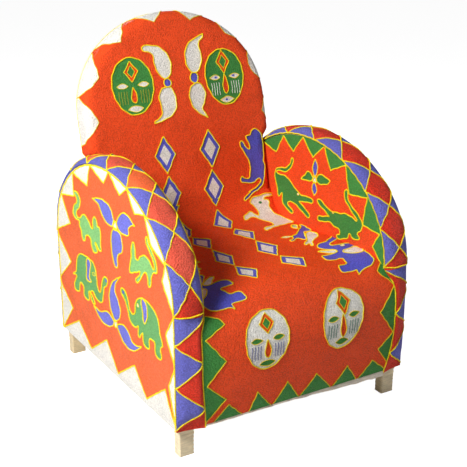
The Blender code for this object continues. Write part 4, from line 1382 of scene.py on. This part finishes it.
# %% Sew the seat
EDGE_ROWS = (0.270, 0.2755, 0.280, 0.2835, 0.286, 0.2873)
EDGE_STEP = 0.008
TIP_HALF = 0.015
SEAT_LINK_SHARE = 0.60
seat_border = rectangle(-SEAT_HALF, 0, SEAT_HALF, SEAT_RUN)
seat = Cloth("seat_beadwork", seat_border, seat_lift, "field", (0, 0, 1), spacing=0.010, bead=SEAT_STRING)
for near_edge in EDGE_ROWS:
    for row in range(int(SEAT_RUN / EDGE_STEP)):
        seat.extra += [(-near_edge, row * EDGE_STEP), (near_edge, row * EDGE_STEP)]
for outline in (APRON_LEFT_EDGE, APRON_RIGHT_EDGE):
    seat.patch("green", straight(outline), edged=False)
    seat.string(straight(outline), "gold", APRON_STRING)
for outline in APRON_POINTS:
    seat.patch("green", straight(outline), edged=False)
    seat.string(straight(outline[:3]), "gold", APRON_STRING)
for outline in SEAT_CHAIN:
    corners = straight(outline)
    middle = sum(corners, Vector((0, 0))) / 4
    seat.patch("blue", corners)
    seat.patch("white", [middle.lerp(corner, SEAT_LINK_SHARE) for corner in corners], edged=False)
for across in (-0.070, 0.070):
    tip = [Vector((across, 0.892)), Vector((across + TIP_HALF, SEAT_RUN)),
           Vector((across - TIP_HALF, SEAT_RUN))]
    seat.patch("blue", tip)
    seat.patch("blue", drawn(CLIMBER_TAIL) if across > 0 else flipped(drawn(CLIMBER_TAIL)))
right_side = [("white", GOAT), ("blue", KID_FRONT), ("white", KID_REAR), ("white", KID_HEAD),
              ("blue", SEAT_ELEPHANT), ("white", SEAT_TUSK), ("white", SEAT_EAR)]
for colour, outline in right_side:
    seat.patch(colour, drawn(outline))
    seat.patch(colour, moved(flipped(drawn(outline)), 0.012, -0.010))
for way in (-1, 1):
    seat.patch("green", oval((way * 0.233, 0.879), 0.006, 0.004, 12), edged=False)
    seat.patch("white", oval((way * 0.261, 0.485), 0.006, 0.005, 12), bead=FINE_BEAD)
    seat.patch("leaf", oval((way * 0.256, 0.716), 0.008, 0.007, 12), edged=False)
    seat.patch("white", lens((way * 0.172, 0.637), 0.020, 0.007), bead=FINE_BEAD * 1.4)
seat.edging = "gold"
mask(seat, (-0.1135, 0.2170), (0.0605, 0.081), "white", "green", "slate", (0.90, 0.20), (0.02, -0.62), 0.02,
     (-0.80, 0.36), 0.03)
mask(seat, (0.1125, 0.2210), (0.0630, 0.085), "white", "green", "teal", (0.95, 0.10), (0.14, -0.62), 0.05,
     (-0.77, 0.32), 0.09)
finish_beadwork(seat, ["seat_cover"])

# %% [markdown]
# ## The rear
# The rear is not to be seen in the picture, so it is a guess in the same hand: white points along the edge,
# a chain of diamonds and a leaf wheel on the back, a zigzag on the lower panel.
# Both cloths are flat, each in its own leaning plane.

# %% Sew the rear cloths
REAR_FACE = 0.0158
REAR_FADE = 0.03
REAR_TOP = 0.6
rear_low, rear_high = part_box("rear_cover")
rear_top_foot = (REAR_TOP - DECK_TOP + REAR_FACE * math.sin(RECLINE)) / math.cos(RECLINE)


def back_rear_lift(spot):
    length, reach = back_reach(spot.x, spot.y)
    puff = PUFF * ease((reach - length) / REAR_FADE)
    return on_back(spot.x, spot.y, -REAR_FACE - puff + FLAT_SINK)


rear_outline = back_border(FLAT_SINK, rear_top_foot)
rear_back = Cloth("back_rear_beadwork", rear_outline, back_rear_lift, "white", (0, 1, 0))
rear_star = [back_spot(4 + 12.3 * step, 0.060 if step % 2 else 0.005) for step in range(15)]
for way in (-1, 1):
    rear_star += [Vector((way * (BACK_HALF - 0.005), 0.400)), Vector((way * (SEAT_HALF - 0.005), 0.330)),
                  Vector((way * (SEAT_HALF - 0.005), rear_top_foot + 0.004))][::-way]
rear_back.patch("field", rear_star)
for across in (-0.208, 0.208):
    link(rear_back, (across, 0.495), 0.034, 0.055)
    link(rear_back, (across, 0.384), 0.034, 0.055)
for outline in LOWER_WHEEL:
    rear_back.patch("blue", moved(drawn(outline), -0.348, 0.245))
rear_back.patch("white", oval((0, 0.501), 0.011, 0.011, 20))
finish_beadwork(rear_back, ["back_rear_cover"])

REAR_LEAN = 0.0585
REAR_SINK = 0.0006
REAR_SLANT = math.hypot(rear_high.z - rear_low.z, REAR_LEAN)
rear_lean = Vector((0, -REAR_LEAN, rear_high.z - rear_low.z)) / REAR_SLANT


def rear_lift(spot):
    edge = min(SEAT_HALF - abs(spot.x), spot.y, REAR_SLANT - spot.y)
    puff = PUFF * ease(edge / REAR_FADE)
    foot = Vector((spot.x, rear_high.y, rear_low.z))
    return foot + rear_lean * spot.y + Vector((0, rear_lean.z, -rear_lean.y)) * (puff - REAR_SINK)


SIDE_POINT = 0.068
SIDE_POINT_IN = 0.048
rear_border = rectangle(-SEAT_HALF, 0, SEAT_HALF, REAR_SLANT)
rear = Cloth("rear_beadwork", rear_border, rear_lift, "field", (0, 1, 0))
for step in range(6):
    left = -SEAT_HALF + step * SEAT_HALF / 3
    tip = left + SEAT_HALF / 6
    rear.patch("green", [Vector((left, 0)), Vector((tip, 0.070)), Vector((left + SEAT_HALF / 3, 0))])
    for way in (-1, 1):
        foot = 0.085 + step * SIDE_POINT
        point = [(SEAT_HALF, foot), (SEAT_HALF - SIDE_POINT_IN, foot + SIDE_POINT / 2),
                 (SEAT_HALF, foot + SIDE_POINT)]
        rear.patch("green", [Vector((way * x, y)) for x, y in point])
for across in (-0.155, 0.0, 0.155):
    for middle in (0.180, 0.292, 0.404):
        link(rear, (across, middle), 0.034, 0.055)
finish_beadwork(rear, ["rear_cover"])

# %% [markdown]
# ## Cream hem, wrapped legs and linings
# Below the apron a narrow cream hem shows, a little wavy where it is turned under.
# The legs are wrapped in the same cloth: a strip round the leg, creased at the top where it is tacked. The
# rear legs' cloth is a darker cream, a painted shade for legs standing under the chair.
# Flat cloths close the underside. They are sewn like the beaded cloths, only without patches.

# %% Sew the cream cloths


def plain_cloth(cloth, nodes, finish=cream):
    piece = sew(cloth, [finish], finish)
    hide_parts(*nodes)
    print(cloth.name, len(piece.data.polygons), "faces")
    return piece


hem_low, hem_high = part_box("front_hem")
HEM_HEIGHT = hem_high.z - hem_low.z
HEM_SAG = 0.003
HEM_SWELL = 0.0030
HEM_TUCK = 0.002
HEM_WAVE = 0.0011
HEM_WAVES = ((1.0, 118, 0), (0.7, 57, 1), (0.5, 211, 2))
HEM_SHOWN = 0.30
HEM_TURN_START = -0.05
HEM_TURN_RUN = 0.30
CLOTH = 0.0012


def hem_lift(spot):
    """The hem hangs from the apron's foot; towards the left more and more of it is turned under."""
    foot = seat_lift(Vector((spot.x, 0)))
    below = HEM_HEIGHT - spot.y
    unturned = ease((spot.x - HEM_TURN_START) / HEM_TURN_RUN)
    hung = min(below, HEM_HEIGHT * (HEM_SHOWN + (1 - HEM_SHOWN) * unturned))
    share = hung / HEM_HEIGHT
    wave = sum(size * math.sin(spot.x * pitch + phase) for size, pitch, phase in HEM_WAVES)
    swell = HEM_SWELL * math.sin(math.pi * share) * (1 + 0.5 * wave)
    forward = swell - HEM_TUCK * share - (below - hung)
    return Vector((foot.x, foot.y - forward, hem_high.z - hung + share * (HEM_WAVE * wave - HEM_SAG)))


hem_border = rectangle(-SEAT_HALF, 0, SEAT_HALF, HEM_HEIGHT)
hem = Cloth("cream_hem", hem_border, hem_lift, "cream", (0, -1, 0), spacing=0.005, thick=CLOTH)
plain_cloth(hem, ["front_hem"], hemmed)

# %% Wrap the legs
SLEEVE_CORNER = 0.0022
CREASE_DEEP = 0.0012
CREASE_WAVES = 520
CREASE_SWAY = 60


def wrap_leg(name, finish):
    low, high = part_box(f"{name}_sleeve")
    centre = (low + high) / 2
    half_x, half_y = (high.x - low.x) / 2, (high.y - low.y) / 2
    tall = high.z - low.z
    corner = SLEEVE_CORNER
    sides = [(half_x - corner) * 2, (half_y - corner) * 2] * 2
    bend = corner * math.pi / 2
    girth = sum(sides) + 4 * bend

    def lift(spot):
        run = spot.x % girth
        quarter = 0
        while run > sides[quarter] + bend:
            run -= sides[quarter] + bend
            quarter += 1
        halves = (half_x, half_y) if quarter % 2 == 0 else (half_y, half_x)
        if run < sides[quarter]:
            flat = Vector((-halves[0] + corner + run, -halves[1]))
        else:
            turn = (run - sides[quarter]) / corner
            along = halves[0] - corner + corner * math.sin(turn)
            flat = Vector((along, -halves[1] + corner - corner * math.cos(turn)))
        share = spot.y / tall
        ripple = math.sin(spot.y * CREASE_WAVES + math.sin(spot.x * CREASE_SWAY) * 1.4)
        crease = CREASE_DEEP * (0.3 + 0.7 * share ** 2) * ripple
        flare = 0.0005 + 0.0016 * share ** 3
        flat *= 1 + (crease + flare) / half_y
        flat.rotate(Matrix.Rotation(math.pi / 2 * quarter, 2))
        return Vector((centre.x + flat.x, centre.y + flat.y, low.z + spot.y))

    border = rectangle(0, 0, girth, tall)
    cloth = Cloth(f"{name}_wrap", border, lift, "cream", (0, -1, 0), spacing=0.004, thick=CLOTH)
    cloth.facing = 1
    return plain_cloth(cloth, [f"{name}_sleeve"], finish)


# The rear legs get the darker cream, a painted shade.
for end_name, leg_cloth in (("front", cream), ("rear", rear_leg_shade_cream)):
    for side_name in SIDES:
        wrap_leg(f"{end_name}_{side_name}_leg", leg_cloth)

# %% Close the underside


def flat_sheet(name, node, corners):
    low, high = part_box(node)

    def lift(spot):
        return Vector((spot.x, spot.y, low.z))

    cloth = Cloth(name, corners, lift, "cream", (0, 0, -1), spacing=0.03, thick=high.z - low.z)
    return plain_cloth(cloth, [node])


under_low, under_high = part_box("underside_cloth")
RAIL_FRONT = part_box("front_rail")[0].y
TONGUE = SEAT_HALF - 0.012
flat_sheet("underside_lining", "underside_cloth", [
    Vector((under_low.x, RAIL_FRONT)), Vector((-TONGUE, RAIL_FRONT)), Vector((-TONGUE, under_low.y)),
    Vector((TONGUE, under_low.y)), Vector((TONGUE, RAIL_FRONT)), Vector((under_high.x, RAIL_FRONT)),
    Vector((under_high.x, under_high.y)), Vector((under_low.x, under_high.y))])
for side_name in SIDES:
    cloth_low, cloth_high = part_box(f"{side_name}_arm_underside_cloth")
    flat_sheet(f"{side_name}_arm_lining", f"{side_name}_arm_underside_cloth",
               rectangle(cloth_low.x, cloth_low.y, cloth_high.x, cloth_high.y))

# %% [markdown]
# ## Pads
# The foam pads lie hidden under the cloths. Each keeps the shape of its solid, with merged corners and
# softened faces, and shows the open cells of cut foam.

# %% Foam
foam_cells, start, end = new_group(
    "cut_foam", [("Place", "NodeSocketVector"), ("Color", "NodeSocketColor")], FINISH_OUTPUTS)
pores = add_node(foam_cells, "ShaderNodeTexVoronoi", (-600, 0))
pores.inputs["Scale"].default_value = 600.0
foam_cells.links.new(start["Place"], pores.inputs["Vector"])
cell = between(foam_cells, pores.outputs["Distance"], 1.0, 0.7)
foam_cells.links.new(scale_colour(foam_cells, start["Color"], cell), end["Color"])
foam_cells.links.new(between(foam_cells, pores.outputs["Distance"], 0.85, 1.0), end["Roughness"])
foam_cells.links.new(pores.outputs["Distance"], end["Height"])
foam, foam_tree, foam_shader = new_material("pad_foam")
foam_place = add_node(foam_tree, "ShaderNodeTexCoord", (-750, 0))
use_group(foam_tree, foam_shader, foam_cells, foam_place.outputs["Object"],
          {"Color": linear(226, 205, 140)}, bump=0.5, depth=0.001)

PAD_CLEARANCE = 0.007
PAD_STRIDE = 6
NOSE_STATIONS = stations[:2 * STATION_STEPS + 1:PAD_STRIDE]
TOP_STATIONS = stations[STATION_STEPS:7 * STATION_STEPS // 2 + 1:PAD_STRIDE]


def apron_y(across, high):
    """Where the apron's outside lies at a place across and a height."""
    places = [seat_point(across, station) for station in NOSE_STATIONS]
    return SEAM_Y + float(np.interp(high, [place.y for place in places], [place.x for place in places]))


def seat_z(across, y):
    """The height of the seat's top at a place across and a depth."""
    places = [seat_point(across, station) for station in TOP_STATIONS]
    return float(np.interp(y - SEAM_Y, [place.x for place in places], [place.y for place in places]))


for node_name in ("seat_pad", "back_pad", "left_arm_band_pad", "right_arm_band_pad"):
    bm = bmesh.new()
    bm.from_mesh(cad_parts[node_name].data)
    bmesh.ops.remove_doubles(bm, verts=bm.verts[:], dist=MERGE)
    bmesh.ops.recalc_face_normals(bm, faces=bm.faces[:])
    for face in bm.faces:
        face.smooth = True
    if node_name == "seat_pad":
        for dot in bm.verts:
            dot.co.y = max(dot.co.y, apron_y(dot.co.x, dot.co.z) + PAD_CLEARANCE)
            dot.co.z = min(dot.co.z, seat_z(dot.co.x, dot.co.y) - PAD_CLEARANCE)
    pad_data = bpy.data.meshes.new(node_name.replace("pad", "foam"))
    bm.to_mesh(pad_data)
    bm.free()
    pad_data.materials.clear()
    pad_data.materials.append(foam)
    pad = ride_piece(node_name.replace("pad", "foam"), pad_data)
    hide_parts(node_name)
    print(pad.name, len(pad_data.polygons), "faces")

# %% [markdown]
# ## Wood
# The boards and rails keep their CAD shape and get wood on Object coordinates: long stretched noise for the
# fibres and a slower one for broad streaks; plywood only gets a paler colour.

# %% Wood materials
wood_grain, start, end = new_group(
    "wood_grain", [("Place", "NodeSocketVector"), ("Color", "NodeSocketColor")], FINISH_OUTPUTS)
stretch = add_node(wood_grain, "ShaderNodeMapping", (-700, 0))
stretch.inputs["Scale"].default_value = (60.0, 60.0, 4.0)
wood_grain.links.new(start["Place"], stretch.inputs["Vector"])
fibre = noise(wood_grain, stretch.outputs[0], 3.0, 6.0)
rings = noise(wood_grain, stretch.outputs[0], 0.35, 2.0)
fibre_shade = between(wood_grain, fibre, 0.75, 1.15)
streak = calculate(wood_grain, "MULTIPLY", fibre_shade, between(wood_grain, rings, 0.7, 1.2))
wood_grain.links.new(scale_colour(wood_grain, start["Color"], streak), end["Color"])
wood_grain.links.new(between(wood_grain, fibre, 0.5, 0.75), end["Roughness"])
wood_grain.links.new(fibre, end["Height"])


def wood(name, colour):
    material, tree, shader = new_material(name)
    place = add_node(tree, "ShaderNodeTexCoord", (-750, 0))
    use_group(tree, shader, wood_grain, place.outputs["Object"], {"Color": colour}, bump=0.3, depth=0.0006)
    return material


timber = {"plank": wood("sawn_plank", linear(190, 148, 98)),
          "plywood": wood("birch_plywood", linear(214, 180, 130))}
dressed = 0
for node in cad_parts.values():
    kind = node.data.materials[0].name.split(".")[0]
    if kind in timber:
        node.data.materials[0] = timber[kind]
        dressed += 1
print("wood on", dressed, "solids")

# %% [markdown]
# ## Studio
# The picture shows the chair on white, lit from the viewer's left and above, so the left arm is
# bright and the apron is in half shade. One soft key lamp does that.
# A weak one overhead softens its shadows, one on the other side keeps the far band from going dark,
# and one behind lights the rear. The white floor throws some of their light back up.
# The floor and the world glow almost only for the camera, so the ground ends white and still keeps
# the chair's shadow.

# %% Floor and world
FLOOR_GREY = 0.85
FLOOR_GLOW = 0.94
WORLD_GLOW = 0.98
WORLD_LIGHT = 0.02


def camera_rays(tree):
    """1 for rays straight from the camera, 0 for the light that reaches the chair."""
    path = add_node(tree, "ShaderNodeLightPath", (-900, 300))
    return path.outputs["Is Camera Ray"]


floor_data = bpy.data.meshes.new("studio_floor")
bm = bmesh.new()
bmesh.ops.create_grid(bm, x_segments=2, y_segments=2, size=30)
bm.to_mesh(floor_data)
bm.free()
floor = bpy.data.objects.new("studio_floor", floor_data)
bpy.context.scene.collection.objects.link(floor)
floor_material, floor_tree, floor_shader = new_material("studio_floor")
floor_shader.inputs["Base Color"].default_value = (FLOOR_GREY, FLOOR_GREY, FLOOR_GREY, 1)
floor_shader.inputs["Roughness"].default_value = 0.9
floor_shader.inputs["Emission Color"].default_value = (1, 1, 1, 1)
floor_glow = calculate(floor_tree, "MULTIPLY", camera_rays(floor_tree), FLOOR_GLOW)
floor_tree.links.new(floor_glow, floor_shader.inputs["Emission Strength"])
floor_data.materials.append(floor_material)

world = bpy.data.worlds.new("studio_world")
bpy.context.scene.world = world
world.use_nodes = True
world_tree = world.node_tree
world_light = world_tree.nodes["Background"]
world_light.inputs["Color"].default_value = (1, 1, 1, 1)
world_strength = calculate(world_tree, "MULTIPLY", camera_rays(world_tree), WORLD_GLOW)
world_total = calculate(world_tree, "ADD", world_strength, WORLD_LIGHT)
world_tree.links.new(world_total, world_light.inputs["Strength"])
print("floor", floor.name, "and world", world.name, "are in place")

# %% Lamps and camera


def soft_lamp(name, place, aim, size, power):
    data = bpy.data.lights.new(name, "AREA")
    data.size = size
    data.energy = power
    lamp = bpy.data.objects.new(name, data)
    lamp.location = place
    lamp.rotation_euler = (Vector(aim) - Vector(place)).to_track_quat("-Z", "Y").to_euler()
    bpy.context.scene.collection.objects.link(lamp)


soft_lamp("key", (-2.35, -0.8, 2.35), (0, 0, 0.45), size=0.95, power=117)
soft_lamp("top", (-0.9, -0.8, 2.8), (0, 0, 0.5), size=1.0, power=6.5)
soft_lamp("far", (2.5, -0.8, 0.8), (0.3, -0.2, 0.4), size=1.0, power=14)
soft_lamp("behind", (0.6, 3.4, 1.8), (0, 0.2, 0.5), size=1.4, power=24)

CAMERA_PLACE = Vector((-1.448, -2.434, 1.463))
CAMERA_AIM = Vector((-0.011, -0.055, 0.468))
camera_data = bpy.data.cameras.new("camera")
camera_data.sensor_width = 36
camera_data.lens = 79.47
camera = bpy.data.objects.new("camera", camera_data)
camera.location = CAMERA_PLACE
camera.rotation_euler = (CAMERA_AIM - CAMERA_PLACE).to_track_quat("-Z", "Y").to_euler()
bpy.context.scene.collection.objects.link(camera)
bpy.context.scene.camera = camera
bpy.context.scene.view_settings.view_transform = "Standard"
print("four lamps, camera with a lens of", camera_data.lens, "mm")

# %% [markdown]
# ## Finish

# %% Finish
bpy.context.view_layer.update()
